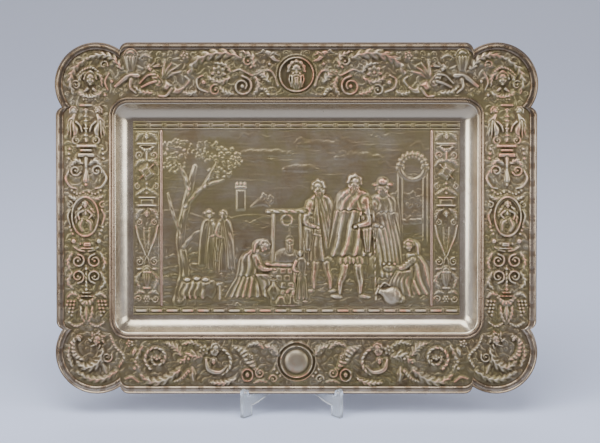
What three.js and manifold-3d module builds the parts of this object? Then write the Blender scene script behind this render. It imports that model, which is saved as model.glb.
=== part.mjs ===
// A rectangular relief tray of pressed, silver-plated brass with scalloped corners, standing on a
// clear two-panel stand. The tray is one sheet: a picture panel with a strip frame, a plain cove,
// a double moulding, a wide rim of grotesque ornament and a rolled edge with cross ties.
// The tray's own plan is worked out in u (right), v (up the tray) and w (out of its face), with the
// middle of the tray at zero and w = 0 on the ground of the rim. It then leans back onto the stand.
// All sizes are millimetres. +Z is up, and the face of the tray looks towards -Y.
import * as THREE from "three";
import { mergeVertices } from "three/addons/utils/BufferGeometryUtils.js";
import Module from "manifold-3d";

// The tray's outline
const TRAY_WIDTH = 500;
const TRAY_HEIGHT = 364;
const LOBE_RADIUS = 43;
const NOTCH_FROM_CORNER = 67;
const SHOULDER_RADIUS = 9;
const SIDE_STEP = 1;

// The tray's section
const SHEET = 1.5;
const EDGE_BAND = 8;
const EDGE_RISE = 2.2;
const ROLL_DROP = 1.4;
const WELL_WIDTH = 377;
const WELL_HEIGHT = 239;
const WELL_CORNER = 14;
const WELL_DEPTH = 13;
const COVE_WIDTH = 16.5;
const COVE_FOOT_CORNER = 4;
const MOULDING_WIDTH = 6;
const MOULDING_RISE = 1.8;

// The picture panel's frame
const STRIP_WIDTH = 9;
const STRIP_RISE = 1.2;
const PILASTER_WIDTH = 28;
const BAR_WIDTH = 2.6;
const PANEL_MARGIN = 1.8;

// Relief: how far a motif is let into the sheet, the usual heights of its parts, and the width below
// which a dome is a plain cone
const ROOT = 0.7;
const LOW = 1.2;
const MIDDLE = 2;
const HIGH = 3;
const FAR = 0.8;
const SMALL_DOME = 7;

// The clear stand
const LEAN_DEGREES = 15;
const STAND_SHEET = 5;
const HOOK_SPACING = 92;
const POST_DEPTH = 8;
const POST_RISE = 9;
const LEDGE_HEIGHT = 22;
const STAND_HEIGHT = 140;
const STAND_REACH = 150;
const STAND_TOP_WIDTH = 14;
const FOOT_LENGTH = 13;
const FOOT_HEIGHT = 11;
const ARCH_HEIGHT = 44;
const ARCH_SLOPE = 26;
const STAND_SHIFT = -5;
const FIT_GAP = 0.4;

const LEAN = THREE.MathUtils.degToRad(LEAN_DEGREES);
const QUARTER_TURN = Math.PI / 2;
const HALF_W = TRAY_WIDTH / 2;
const HALF_H = TRAY_HEIGHT / 2;
const PANEL_HALF_W = WELL_WIDTH / 2 - COVE_WIDTH;
const PANEL_HALF_H = WELL_HEIGHT / 2 - COVE_WIDTH;
const PANEL_GROUND = -WELL_DEPTH;
const FRAME_HALF_W = PANEL_HALF_W - PANEL_MARGIN;
const FRAME_HALF_H = PANEL_HALF_H - PANEL_MARGIN;

const wasm = await Module();
wasm.setup();

// A closed three.js geometry as a solid, with its faces turned outwards.
function solidFrom(geometry) {
  const loose = geometry.index ? geometry.toNonIndexed() : geometry.clone();
  const bare = new THREE.BufferGeometry().setAttribute("position", loose.getAttribute("position"));
  const merged = mergeVertices(bare, 1e-4);
  const vertProperties = new Float32Array(merged.attributes.position.array);
  const triVerts = new Uint32Array(merged.index.array);
  const made = new wasm.Manifold(new wasm.Mesh({ numProp: 3, vertProperties, triVerts }));
  if (made.volume() >= 0) return made;
  for (let i = 0; i < triVerts.length; i += 3) {
    [triVerts[i + 1], triVerts[i + 2]] = [triVerts[i + 2], triVerts[i + 1]];
  }
  return new wasm.Manifold(new wasm.Mesh({ numProp: 3, vertProperties, triVerts }));
}

function geometryFrom(solid) {
  const mesh = solid.getMesh();
  const geometry = new THREE.BufferGeometry();
  geometry.setAttribute("position", new THREE.BufferAttribute(mesh.vertProperties, 3));
  geometry.setIndex(new THREE.BufferAttribute(mesh.triVerts, 1));
  return geometry;
}

// Points of an arc from one angle to another, both ends included.
function arc(centreU, centreV, radius, from, to, steps) {
  return Array.from({ length: steps + 1 }, (_, i) => {
    const angle = from + ((to - from) * i) / steps;
    return [centreU + radius * Math.cos(angle), centreV + radius * Math.sin(angle)];
  });
}

function line(from, to, steps) {
  return Array.from({ length: steps + 1 }, (_, i) => [
    from[0] + ((to[0] - from[0]) * i) / steps,
    from[1] + ((to[1] - from[1]) * i) / steps,
  ]);
}

const STRAIGHT_STEPS = 1;
const SHOULDER_STEPS = 2;
const LOBE_STEPS = 8;

// Joins the sections of a quarter, from the middle of the right side to the middle of the top, and
// mirrors them into the whole loop, counter-clockwise seen from the front.
function wholeLoop(sections) {
  const quarter = sections.flatMap((section, i) => (i ? section.slice(1) : section));
  const back = quarter.slice(1, -1).reverse();
  return [
    ...quarter,
    ...back.map(([u, v]) => [-u, v]),
    ...quarter.slice(0, 1).map(([u, v]) => [-u, v]),
    ...quarter.slice(1).map(([u, v]) => [-u, -v]),
    ...back.map(([u, v]) => [u, -v]),
  ];
}

// The scalloped outline, moved inwards by inset: a round lobe at each corner meets the straight
// sides in a notch, where each side ends in a small round shoulder.
function scallop(inset) {
  const [centreU, centreV] = [HALF_W - LOBE_RADIUS, HALF_H - LOBE_RADIUS];
  const radius = LOBE_RADIUS - inset;
  const [sideU, topV] = [HALF_W - SIDE_STEP - inset, HALF_H - inset];
  const away = LOBE_RADIUS - NOTCH_FROM_CORNER;
  const reach = Math.sqrt(radius ** 2 - away ** 2);
  const topNotch = [centreU + away, centreV + reach];
  const sideNotch = [centreU + reach, centreV + away];
  const shoulder = SHOULDER_RADIUS;
  const topRun = Math.sqrt(shoulder ** 2 - (topNotch[1] - topV + shoulder) ** 2);
  const sideRun = Math.sqrt(shoulder ** 2 - (sideNotch[0] - sideU + shoulder) ** 2);
  const topCentre = [topNotch[0] - topRun, topV - shoulder];
  const sideCentre = [sideU - shoulder, sideNotch[1] - sideRun];
  const angleTo = (centre, point) => Math.atan2(point[1] - centre[1], point[0] - centre[0]);
  const lobe = [centreU, centreV];
  return wholeLoop([
    line([sideU, 0], [sideU, sideCentre[1]], STRAIGHT_STEPS),
    arc(...sideCentre, shoulder, 0, angleTo(sideCentre, sideNotch), SHOULDER_STEPS),
    arc(...lobe, radius, angleTo(lobe, sideNotch), angleTo(lobe, topNotch), LOBE_STEPS),
    arc(...topCentre, shoulder, angleTo(topCentre, topNotch), QUARTER_TURN, SHOULDER_STEPS),
    line([topCentre[0], topV], [0, topV], STRAIGHT_STEPS),
  ]);
}

// A rounded rectangle with as many points as the outline, so that the two can be joined.
function roundedLoop(halfW, halfH, corner) {
  const shareU = (HALF_W - NOTCH_FROM_CORNER - SHOULDER_RADIUS) / (HALF_W - NOTCH_FROM_CORNER);
  const shareV = (HALF_H - NOTCH_FROM_CORNER - SHOULDER_RADIUS) / (HALF_H - NOTCH_FROM_CORNER);
  const [startU, startV] = [halfW - corner, halfH - corner];
  return wholeLoop([
    line([halfW, 0], [halfW, startV * shareV], STRAIGHT_STEPS),
    line([halfW, startV * shareV], [halfW, startV], SHOULDER_STEPS),
    arc(startU, startV, corner, 0, QUARTER_TURN, LOBE_STEPS),
    line([startU, halfH], [startU * shareU, halfH], SHOULDER_STEPS),
    line([startU * shareU, halfH], [0, halfH], STRAIGHT_STEPS),
  ]);
}

const wellLoop = (grow) =>
  roundedLoop(WELL_WIDTH / 2 + grow, WELL_HEIGHT / 2 + grow, WELL_CORNER + grow);

// A loop part of the way up the cove: hollow, level at its foot and steep at the moulding.
function coveLoop(share, grow) {
  const out = COVE_WIDTH * share + grow;
  const corner = COVE_FOOT_CORNER + (WELL_CORNER - COVE_FOOT_CORNER) * share + grow;
  const lift = WELL_DEPTH * (1 - Math.cos(share * QUARTER_TURN));
  return [roundedLoop(PANEL_HALF_W + out, PANEL_HALF_H + out, corner), PANEL_GROUND + lift];
}

const COVE_STEPS = 3;

// The plain sheet: loops from the panel out to the edge over the front, round the rolled edge,
// and back under the rim and the cove at the sheet's thickness.
function plainTray() {
  const shares = Array.from({ length: COVE_STEPS + 1 }, (_, i) => i / COVE_STEPS);
  const under = ([loop, w]) => [loop, w - SHEET];
  const loops = [
    ...shares.map((share) => coveLoop(share, 0)),
    [wellLoop(MOULDING_WIDTH / 3), MOULDING_RISE],
    [wellLoop((MOULDING_WIDTH * 2) / 3), MOULDING_RISE],
    [wellLoop(MOULDING_WIDTH), 0],
    [scallop(EDGE_BAND), 0],
    [scallop(EDGE_BAND * 0.85), EDGE_RISE * 0.6],
    [scallop(EDGE_BAND * 0.25), EDGE_RISE],
    [scallop(0), EDGE_RISE * 0.4],
    [scallop(0), -ROLL_DROP],
    [scallop(EDGE_BAND * 0.3), -SHEET - ROLL_DROP],
    [scallop(EDGE_BAND * 0.7), -SHEET],
    ...shares.reverse().map((share) => under(coveLoop(share, SHEET))),
  ];
  const count = loops[0][0].length;
  const points = [[0, 0, PANEL_GROUND]];
  for (const [loop, w] of loops) for (const [u, v] of loop) points.push([u, v, w]);
  const last = points.push([0, 0, PANEL_GROUND - SHEET]) - 1;
  const at = (ring, i) => 1 + ring * count + (i % count);
  const faces = [];
  for (let i = 0; i < count; i++) {
    faces.push(0, at(0, i), at(0, i + 1));
    for (let ring = 0; ring + 1 < loops.length; ring++) {
      faces.push(at(ring, i), at(ring + 1, i), at(ring + 1, i + 1));
      faces.push(at(ring, i), at(ring + 1, i + 1), at(ring, i + 1));
    }
    faces.push(last, at(loops.length - 1, i + 1), at(loops.length - 1, i));
  }
  const geometry = new THREE.BufferGeometry();
  geometry.setAttribute("position", new THREE.Float32BufferAttribute(points.flat(), 3));
  geometry.setIndex(faces);
  return solidFrom(geometry);
}

// A raised ridge along a line of points, its half width and its height given along its length by
// functions of a share from 0 to 1. Its crest is a line, or a flat band of some share of its width.
function ridge(points, halfWidthAt, heightAt, band = 0) {
  const last = points.length - 1;
  const sides = band ? 4 : 3;
  const corners = [];
  points.forEach(([u, v], i) => {
    const before = points[Math.max(0, i - 1)];
    const after = points[Math.min(last, i + 1)];
    const along = Math.hypot(after[0] - before[0], after[1] - before[1]);
    const [du, dv] = [(before[1] - after[1]) / along, (after[0] - before[0]) / along];
    const half = halfWidthAt(i / last);
    const crest = heightAt(i / last);
    corners.push([u - du * half, v - dv * half, -ROOT]);
    if (band) corners.push([u - du * half * band, v - dv * half * band, crest]);
    corners.push([u + du * half * band, v + dv * half * band, crest]);
    corners.push([u + du * half, v + dv * half, -ROOT]);
  });
  const faces = [];
  for (let side = 1; side + 1 < sides; side++) {
    faces.push(0, side, side + 1);
    faces.push(last * sides, last * sides + side + 1, last * sides + side);
  }
  for (let i = 0; i < last; i++) {
    for (let side = 0; side < sides; side++) {
      const [a, b] = [i * sides + side, i * sides + ((side + 1) % sides)];
      faces.push(a, a + sides, b + sides, a, b + sides, b);
    }
  }
  const geometry = new THREE.BufferGeometry();
  geometry.setAttribute("position", new THREE.Float32BufferAttribute(corners.flat(), 3));
  geometry.setIndex(faces);
  return solidFrom(geometry);
}

const even = (value) => () => value;
const taper = (from, to) => (share) => from + (to - from) * share;
const swell = (most, ends) => (share) => ends + (most - ends) * Math.sin(share * Math.PI);

// A low faceted dome on an oval foot, turned by an angle in degrees. Small ones, such as buds and
// beads, are plain cones with five sides.
function dome(u, v, radiusU, radiusV, height, { turn = 0, sides } = {}) {
  const small = Math.max(radiusU, radiusV) < SMALL_DOME;
  const shoulder = small ? [] : [[0.7, height * 0.7]];
  const around = sides ?? (small ? 5 : 6);
  const corners = [[0, -ROOT], [1, -ROOT], ...shoulder, [0, height]];
  const profile = corners.map(([radius, rise]) => new THREE.Vector2(radius, rise));
  const geometry = new THREE.LatheGeometry(profile, around);
  geometry.rotateX(QUARTER_TURN).scale(radiusU, radiusV, 1);
  geometry.rotateZ(THREE.MathUtils.degToRad(turn)).translate(u, v, 0);
  return solidFrom(geometry);
}

// A flat bar: a box between two heights.
function bar(u, v, width, height, rise) {
  const geometry = new THREE.BoxGeometry(width, height, rise + ROOT);
  geometry.translate(u, v, (rise - ROOT) / 2);
  return solidFrom(geometry);
}

// A spiral stem that winds in from its rim to a bud at its heart.
function scroll(u, v, radius, { hand = 1, start = 0, turns = 1.1, height = MIDDLE } = {}) {
  const steps = Math.round(turns * 5.5);
  const inner = radius * 0.42;
  const points = Array.from({ length: steps + 1 }, (_, i) => {
    const share = i / steps;
    const angle = THREE.MathUtils.degToRad(start) + hand * share * turns * Math.PI * 2;
    const reach = radius + (inner - radius) * share;
    return [u + reach * Math.cos(angle), v + reach * Math.sin(angle)];
  });
  const width = Math.min(2, radius * 0.16);
  return [
    ridge(points, taper(width, width * 0.7), even(height)),
    dome(u, v, radius * 0.3, radius * 0.3, height * 1.2),
  ];
}

// A ring, round or oval.
function ring(u, v, radiusU, radiusV, width, height) {
  const profile = [
    [1, -ROOT],
    [1 - width / radiusU / 2, height],
    [1 - width / radiusU, -ROOT],
    [1, -ROOT],
  ].map(([radius, rise]) => new THREE.Vector2(radius, rise));
  const geometry = new THREE.LatheGeometry(profile, 12);
  geometry.rotateX(QUARTER_TURN).scale(radiusU, radiusV, 1).translate(u, v, 0);
  return solidFrom(geometry);
}

const stroke = (from, to, halfWidth, height) =>
  ridge(line(from, to, 1), taper(halfWidth, halfWidth * 0.8), even(height));

// A leaf that bends along an arc and is widest in its middle.
function leaf(centreU, centreV, radius, from, to, halfWidth, height = MIDDLE) {
  const [start, end] = [THREE.MathUtils.degToRad(from), THREE.MathUtils.degToRad(to)];
  const points = arc(centreU, centreV, radius, start, end, 3);
  return ridge(points, swell(halfWidth, halfWidth * 0.3), swell(height, LOW));
}

// Each group of motifs is drawn for a field of a set size, on w = 0, and is then stretched, moved and
// sunk to the field that the tray has for it.
function settle(solids, { stretchU = 1, stretchV = 1, u = 0, v = 0, ground = 0 }) {
  const geometry = geometryFrom(wasm.Manifold.union(solids));
  return solidFrom(geometry.scale(stretchU, stretchV, 1).translate(u, v, ground));
}

const mirrored = (solid) => solidFrom(geometryFrom(solid).scale(-1, 1, 1));

// The right half of the top border, from the medallion's edge to the corner lobe, about its axis.
function topBorder() {
  return [
    leaf(28, -4, 12, 100, 10, 2),
    ...scroll(49, 15, 6, { hand: -1, start: 250 }),
    leaf(86, -12, 33, 128, 55, 4),
    dome(80.5, 1.5, 9, 7, HIGH),
    ...scroll(56, -13, 11, { hand: 1, start: 90 }),
    leaf(34, -18, 8, 160, 30, 2),
    ...scroll(84, -18, 6, { hand: -1, start: 120 }),
    dome(96, -8.5, 3, 3, LOW),
    dome(115, 17, 5, 4, MIDDLE),
    ...griffin(136, -4),
    ridge([[171, 0], [171, 21]], taper(2.5, 7), even(MIDDLE), 0.5),
    ridge([[165, -1], [176, -2], [188, -12]], taper(3, 2.4), even(MIDDLE)),
  ];
}

// A crouching winged beast: body, breast, head, raised wing and foreleg.
function griffin(u, v) {
  return [
    dome(u - 2, v - 6, 15, 5, MIDDLE, { turn: 20 }),
    dome(u + 9, v + 2, 5, 8, HIGH, { turn: -20 }),
    dome(u + 14, v + 9, 4, 4.5, HIGH),
    leaf(u - 2, v - 8, 20, 130, 70, 5),
    stroke([u + 10, v - 2], [u + 20, v - 8], 2, MIDDLE),
  ];
}

// The corner lobe at the top, about the lobe's centre: a small head in an arch of leaf, with a
// collar under it.
function topCorner() {
  return [
    dome(6, 3, 6.5, 9, HIGH),
    leaf(6, 1, 15, 20, 160, 2),
    leaf(2, -1, 27, 55, 145, 3),
    leaf(9, -1, 22, -30, 40, 2.5),
    leaf(9, -4, 10, 200, 340, 2.5),
  ];
}

// The right border about its axis, read from top to bottom as a candelabrum with its beasts and
// scrolls in pairs.
function sideBorder() {
  const pair = (away, make) => [-1, 1].flatMap((side) => make(side * away, side));
  return [
    bar(0, 114.5, 14, 2.4, LOW),
    stroke([0, 113], [0, 78], 1.6, LOW),
    ...pair(14, (u, side) => [
      dome(u, 95, 6.5, 12, HIGH, { turn: side * 12 }),
      dome(u - side * 1.5, 110, 5, 5, HIGH),
      leaf(u, 80, 6, 20, 160, 1.8),
    ]),
    bar(0, 74.5, 24, 3, MIDDLE),
    bar(0, 65, 20, 4, MIDDLE),
    ridge([[0, 62], [0, 34]], taper(1.4, 3.4), even(MIDDLE)),
    ...pair(11, (u, side) => scroll(u, 51, 6, { hand: side, start: 200 })),
    ...pair(16, (u) => [dome(u, 65, 2.4, 4, MIDDLE), dome(u, 37, 2.4, 6.5, LOW)]),
    ...pair(9, (u, side) => leaf(u, 18, 9, 90 - side * 60, 90 + side * 50, 2.2)),
    ring(1, 2, 15, 21.5, 3, MIDDLE),
    dome(1, 2, 5, 13, HIGH),
    ...pair(13, (u) => dome(u, -23.5, 3.4, 3.4, MIDDLE)),
    bar(0, -30, 15, 3, MIDDLE),
    ...pair(8.6, (u, side) => scroll(u, -44.5, 7, { hand: side, start: 90 })),
    ...pair(8.6, (u, side) => scroll(u, -60, 7, { hand: -side, start: 270 })),
    stroke([0, -50], [0, -73], 1.3, MIDDLE),
    dome(0, -85, 9, 4.6, HIGH),
    ...pair(16, (u) => dome(u, -95, 4.4, 9, MIDDLE)),
    dome(0, -99, 5, 8, MIDDLE),
    leaf(0, -100, 9, 200, 340, 1.8),
  ];
}

// The corner lobe at the bottom, about the lobe's centre: a beast's head, a curling beast and a
// sweep of leaf.
function bottomCorner() {
  return [
    dome(-1, 12, 6, 8, HIGH),
    leaf(15, 5, 11, -60, 80, 3.4, HIGH),
    leaf(6, -3, 15, 190, 320, 3.4),
    leaf(3, 1, 28, 235, 310, 3, LOW),
    ...scroll(-10.5, -6, 5.5, { hand: 1, start: 150 }),
    dome(-8, -18, 3, 5, MIDDLE, { turn: 20 }),
  ];
}

// The right half of the bottom border, from the boss to the corner lobe, about its axis.
function bottomBorder() {
  return [
    leaf(22, -4, 16, 75, 10, 2.6),
    stroke([17, -15], [23, -8], 1.5, MIDDLE),
    ridge([[45, -8], [52, 8], [66, 17]], swell(6, 3), even(HIGH)),
    ring(51, -13, 6.4, 7, 2.4, LOW),
    ...scroll(82, -2, 18, { hand: 1, start: 70, turns: 0.8, height: HIGH }),
    dome(84.5, 16, 7, 4.6, HIGH),
    ring(95.5, 12.5, 6, 6, 4, MIDDLE),
    dome(112.7, 3, 8, 4.6, MIDDLE, { turn: -10 }),
    dome(108, -13, 5, 7, MIDDLE, { turn: 15 }),
    ridge([[112, -8], [122, -17], [132, -21]], taper(3, 1.4), even(LOW)),
    dome(126, 14, 4, 6.5, MIDDLE, { turn: -30 }),
    ...scroll(144, 5, 14, { hand: 1, start: 300 }),
    dome(150, -16, 14, 4.5, LOW),
    dome(168, 11, 4.4, 6, MIDDLE),
    dome(173, 18, 5, 4, HIGH),
    dome(167.6, -3, 3.4, 2.4, LOW),
  ];
}

// The portrait medallion in the middle of the top border.
function medallion() {
  return [
    ring(0, 0, 19, 19, 3, MIDDLE),
    dome(0, 5.5, 7, 9, HIGH),
    dome(0, -7, 7.5, 9, MIDDLE),
  ];
}

// The plain boss in the middle of the bottom border.
function boss() {
  return [
    ring(0, 0, 20.5, 20.5, 2.6, LOW),
    ring(0, 0, 17, 17, 2.6, MIDDLE),
    dome(0, 0, 13.5, 13.5, HIGH, { sides: 10 }),
  ];
}

// The frame of the picture panel: strips above and below, and an upright bar beside each pilaster.
function panelFrame() {
  const barU = FRAME_HALF_W - PILASTER_WIDTH - BAR_WIDTH / 2;
  const stripV = FRAME_HALF_H - STRIP_WIDTH / 2;
  return [-1, 1].flatMap((side) => [
    bar(0, side * stripV, FRAME_HALF_W * 2, STRIP_WIDTH, STRIP_RISE),
    bar(side * barU, 0, BAR_WIDTH, (FRAME_HALF_H - STRIP_WIDTH) * 2, STRIP_RISE),
  ]);
}

// A pilaster about its axis: mask, bowl, shield, pedestal, lyre, scrolls and urn.
function pilaster() {
  const pair = (away, make) => [-1, 1].flatMap((side) => make(side * away, side));
  return [
    dome(0, 85.5, 4.2, 4.2, MIDDLE),
    bar(0, 77.5, 23, 2, LOW),
    dome(0, 72, 7, 3.6, MIDDLE),
    ...pair(6, (u, side) => leaf(u, 62, 4.5, 90 - side * 70, 90 + side * 70, 1.4, LOW)),
    ridge([[-6, 43], [7, 54]], even(6), even(MIDDLE), 0.6),
    ridge([[0, 13], [0, 22]], taper(11, 9), even(MIDDLE), 0.8),
    ...pair(7, (u) => dome(u, 2, 4, 4.6, LOW)),
    ...pair(10, (u, side) => stroke([u, -8], [side * 1.6, -38], 1.1, LOW)),
    ...pair(7, (u, side) => scroll(u, -45, 4, { hand: side, turns: 0.9, height: LOW })),
    bar(0, -53, 23, 2, LOW),
    ridge([[0, -55], [0, -71]], taper(6.4, 2.2), even(MIDDLE), 0.5),
    dome(0, -84, 3.4, 3.6, MIDDLE),
  ];
}

// A standing figure in a long cloak: feet at (u, v), with a head, bent arms and folds.
function standingFigure(u, v, tall, width, { lean = 0, rise = HIGH, folds = 3 } = {}) {
  const at = (share, across) => [u + lean * share + width * across, v + tall * share];
  const cloak = [at(0, 0), at(0.3, 0), at(0.6, 0), at(0.8, 0), at(0.86, 0)];
  const cloakHalf = (share) => width * (0.5 - 0.06 * share - 1.36 * Math.max(0, share - 0.75));
  const arm = (side) => [at(0.8, side * 0.3), at(0.62, side * 0.56), at(0.5, side * 0.28)];
  const foldShares = Array.from({ length: folds }, (_, i) => (i + 0.5) / folds - 0.5);
  return [
    ridge(cloak, cloakHalf, even(rise), 0.6),
    dome(...at(0.93, 0), tall * 0.048, tall * 0.062, rise + 1),
    ...[-1, 1].map((side) => ridge(arm(side), even(2.6), even(rise + 0.6))),
    ...foldShares.map((x) => stroke(at(0.62, x * 0.5), at(0.07, x * 0.8), 1.1, rise + 0.8)),
  ];
}

// A seated or kneeling figure facing one way: a folded lap, a bent back, a head, an arm and a leg.
function lowFigure(u, v, tall, facing, { rise = HIGH } = {}) {
  const at = (across, share) => [u + facing * across, v + tall * share];
  return [
    dome(...at(4, 0.2), tall * 0.34, tall * 0.2, rise),
    ridge([at(-6, 0.2), at(-4, 0.5), at(3, 0.8)], swell(tall * 0.17, tall * 0.13), even(rise), 0.5),
    dome(...at(7, 0.92), tall * 0.1, tall * 0.12, rise + 1),
    ridge([at(2, 0.7), at(12, 0.5), at(21, 0.52)], even(2.2), even(rise + 0.6)),
    stroke(at(8, 0.2), at(12, 0), tall * 0.09, rise),
  ];
}

// The well-head and its frame: a round kerb, two posts, a beam and a bucket.
function drawWell(u, v) {
  return [
    ridge([[u, v], [u, v + 36]], even(17), even(MIDDLE), 0.7),
    bar(u, v + 37, 38, 5, HIGH),
    stroke([u - 14, v + 38], [u - 14, v + 92], 1.8, MIDDLE),
    stroke([u + 16, v + 38], [u + 16, v + 92], 1.8, LOW),
    stroke([u - 20, v + 93], [u + 22, v + 93], 2.2, MIDDLE),
    dome(u, v + 68, 5, 6, MIDDLE),
  ];
}

// A tree with a leaning trunk, a bough and three masses of leaf.
function tree(u, v) {
  const crown = [[6, 152, 20, 12], [34, 144, 15, 9], [-12, 134, 8, 11]];
  return [
    ridge([[u, v], [u + 5, v + 60], [u + 3, v + 100], [u + 14, v + 142]], taper(7, 3.4), even(MIDDLE)),
    stroke([u + 4, v + 100], [u - 8, v + 128], 2.4, LOW),
    ...crown.map(([du, dv, halfU, halfV]) => dome(u + du, v + dv, halfU, halfV, MIDDLE)),
  ];
}

// The picture: travellers beside a draw-well, under a tree, with hills and a tower behind.
function picture() {
  const floor = -86;
  return [
    ...standingFigure(30, floor, 128, 30),
    ...standingFigure(58, floor + 4, 134, 34, { folds: 4 }),
    ...standingFigure(88, floor + 7, 122, 26, { lean: -4, rise: MIDDLE }),
    ...standingFigure(-84, floor + 22, 66, 17, { rise: MIDDLE, folds: 2 }),
    ...lowFigure(118, floor + 6, 58, -1, { rise: MIDDLE }),
    ...lowFigure(-40, floor + 5, 66, 1),
    ...drawWell(-8, floor + 4),
    ...tree(-122, floor + 6),
    dome(-106, floor + 8, 13, 7, MIDDLE),
    dome(-93, floor + 13, 4, 4, MIDDLE),
    dome(-62, floor + 8, 6, 8, HIGH),
    dome(96, floor + 1, 34, 3.4, LOW),
    ridge([[-74, 6], [-40, 16], [-4, 10], [18, 14]], even(2), even(FAR)),
    ridge([[-56, 12], [-56, 34]], even(5), even(FAR)),
  ];
}

// The fields that the motifs were drawn for, and the tray's own.
const DRAWN_RIM = 48.5;
const DRAWN_RUN = 192;
const DRAWN_SIDE = 118;
const DRAWN_LOBE = 43;
const DRAWN_PANEL = [139, 93];
const DRAWN_PILASTER = [28, 93];

const WELL_EDGE_U = WELL_WIDTH / 2 + MOULDING_WIDTH;
const WELL_EDGE_V = WELL_HEIGHT / 2 + MOULDING_WIDTH;
const RIM_U = HALF_W - SIDE_STEP - EDGE_BAND - WELL_EDGE_U;
const RIM_V = HALF_H - EDGE_BAND - WELL_EDGE_V;
const INNER_HALF_H = FRAME_HALF_H - STRIP_WIDTH;

// The tray with its relief. What repeats left and right is made once and mirrored.
function reliefTray() {
  const [lobeU, lobeV] = [HALF_W - LOBE_RADIUS, HALF_H - LOBE_RADIUS];
  const rimV = WELL_EDGE_V + RIM_V / 2;
  const lobe = LOBE_RADIUS / DRAWN_LOBE;
  const inLobe = { stretchU: lobe, stretchV: lobe, u: lobeU };
  const alongTop = { stretchU: (HALF_W - NOTCH_FROM_CORNER + SHOULDER_RADIUS) / DRAWN_RUN };
  const border = { ...alongTop, stretchV: RIM_V / DRAWN_RIM };
  const stretchSide = (HALF_H - NOTCH_FROM_CORNER + SHOULDER_RADIUS / 3) / DRAWN_SIDE;
  const side = { stretchU: RIM_U / DRAWN_RIM, stretchV: stretchSide, u: WELL_EDGE_U + RIM_U / 2 };
  const middle = { stretchU: RIM_V / DRAWN_RIM, stretchV: RIM_V / DRAWN_RIM };
  const column = {
    stretchU: PILASTER_WIDTH / DRAWN_PILASTER[0],
    stretchV: INNER_HALF_H / DRAWN_PILASTER[1],
    u: FRAME_HALF_W - PILASTER_WIDTH / 2,
    ground: PANEL_GROUND,
  };
  const panel = {
    stretchU: (FRAME_HALF_W - PILASTER_WIDTH - BAR_WIDTH) / DRAWN_PANEL[0],
    stretchV: INNER_HALF_H / DRAWN_PANEL[1],
    ground: PANEL_GROUND,
  };
  const half = [
    settle(topBorder(), { ...border, v: rimV }),
    settle(bottomBorder(), { ...border, v: -rimV }),
    settle(topCorner(), { ...inLobe, v: lobeV }),
    settle(bottomCorner(), { ...inLobe, v: -lobeV }),
    settle(sideBorder(), side),
    settle(pilaster(), column),
  ];
  return wasm.Manifold.union([
    plainTray(),
    ...half,
    ...half.map(mirrored),
    settle(medallion(), { ...middle, v: rimV }),
    settle(boss(), { ...middle, v: -rimV }),
    settle(panelFrame(), { ground: PANEL_GROUND }),
    settle(picture(), panel),
  ]);
}

// How far the rolled edge and the well reach behind the ground of the rim, and how far the corner of
// a front post, which stands on the diagonal, reaches back towards the tray.
const EDGE_BEHIND = SHEET + ROLL_DROP;
const WELL_BEHIND = WELL_DEPTH + SHEET;
const POST_CORNER = (STAND_SHEET / 2) * Math.SQRT1_2;

// The tray's middle: its bottom edge sits just above the ledges and just behind the posts.
const TRAY_Y = HALF_H * Math.sin(LEAN) + EDGE_RISE * Math.cos(LEAN) + POST_CORNER + FIT_GAP;
const TRAY_Z = LEDGE_HEIGHT + FIT_GAP + HALF_H * Math.cos(LEAN) + EDGE_BEHIND * Math.sin(LEAN);

// How far behind the posts a panel's back rest is at height z, measured along the panel: it follows
// the slope of the tray's back, and the panel's corner stays clear of it.
function backRest(z) {
  const wellBack = TRAY_Y + (z - TRAY_Z) * Math.tan(LEAN) + WELL_BEHIND / Math.cos(LEAN);
  return (wellBack + FIT_GAP) * Math.SQRT2 + STAND_SHEET / 2;
}

// One stand panel in its own plane: s runs from the back of its post towards the rear, z up.
function standOutline() {
  const tip = LEDGE_HEIGHT + POST_RISE - POST_DEPTH / 2;
  const frontFoot = FOOT_LENGTH - POST_DEPTH;
  const rearFoot = STAND_REACH - FOOT_LENGTH;
  const knee = backRest(LEDGE_HEIGHT);
  const shape = new THREE.Shape();
  shape.moveTo(-POST_DEPTH, 0);
  shape.lineTo(-POST_DEPTH, tip);
  shape.absarc(-POST_DEPTH / 2, tip, POST_DEPTH / 2, Math.PI, 0, true);
  shape.lineTo(0, LEDGE_HEIGHT);
  shape.lineTo(knee, LEDGE_HEIGHT);
  shape.lineTo(backRest(STAND_HEIGHT), STAND_HEIGHT);
  shape.lineTo(backRest(STAND_HEIGHT) + STAND_TOP_WIDTH, STAND_HEIGHT);
  shape.lineTo(STAND_REACH, FOOT_HEIGHT);
  shape.lineTo(STAND_REACH, 0);
  shape.lineTo(rearFoot, 0);
  shape.lineTo(rearFoot, FOOT_HEIGHT);
  shape.quadraticCurveTo(rearFoot - ARCH_SLOPE * 0.3, ARCH_HEIGHT, rearFoot - ARCH_SLOPE, ARCH_HEIGHT);
  shape.lineTo(knee + ARCH_SLOPE, ARCH_HEIGHT);
  shape.quadraticCurveTo(knee + ARCH_SLOPE * 0.3, FOOT_HEIGHT + 2, frontFoot, FOOT_HEIGHT);
  shape.lineTo(frontFoot, 0);
  shape.closePath();
  return shape;
}

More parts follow.
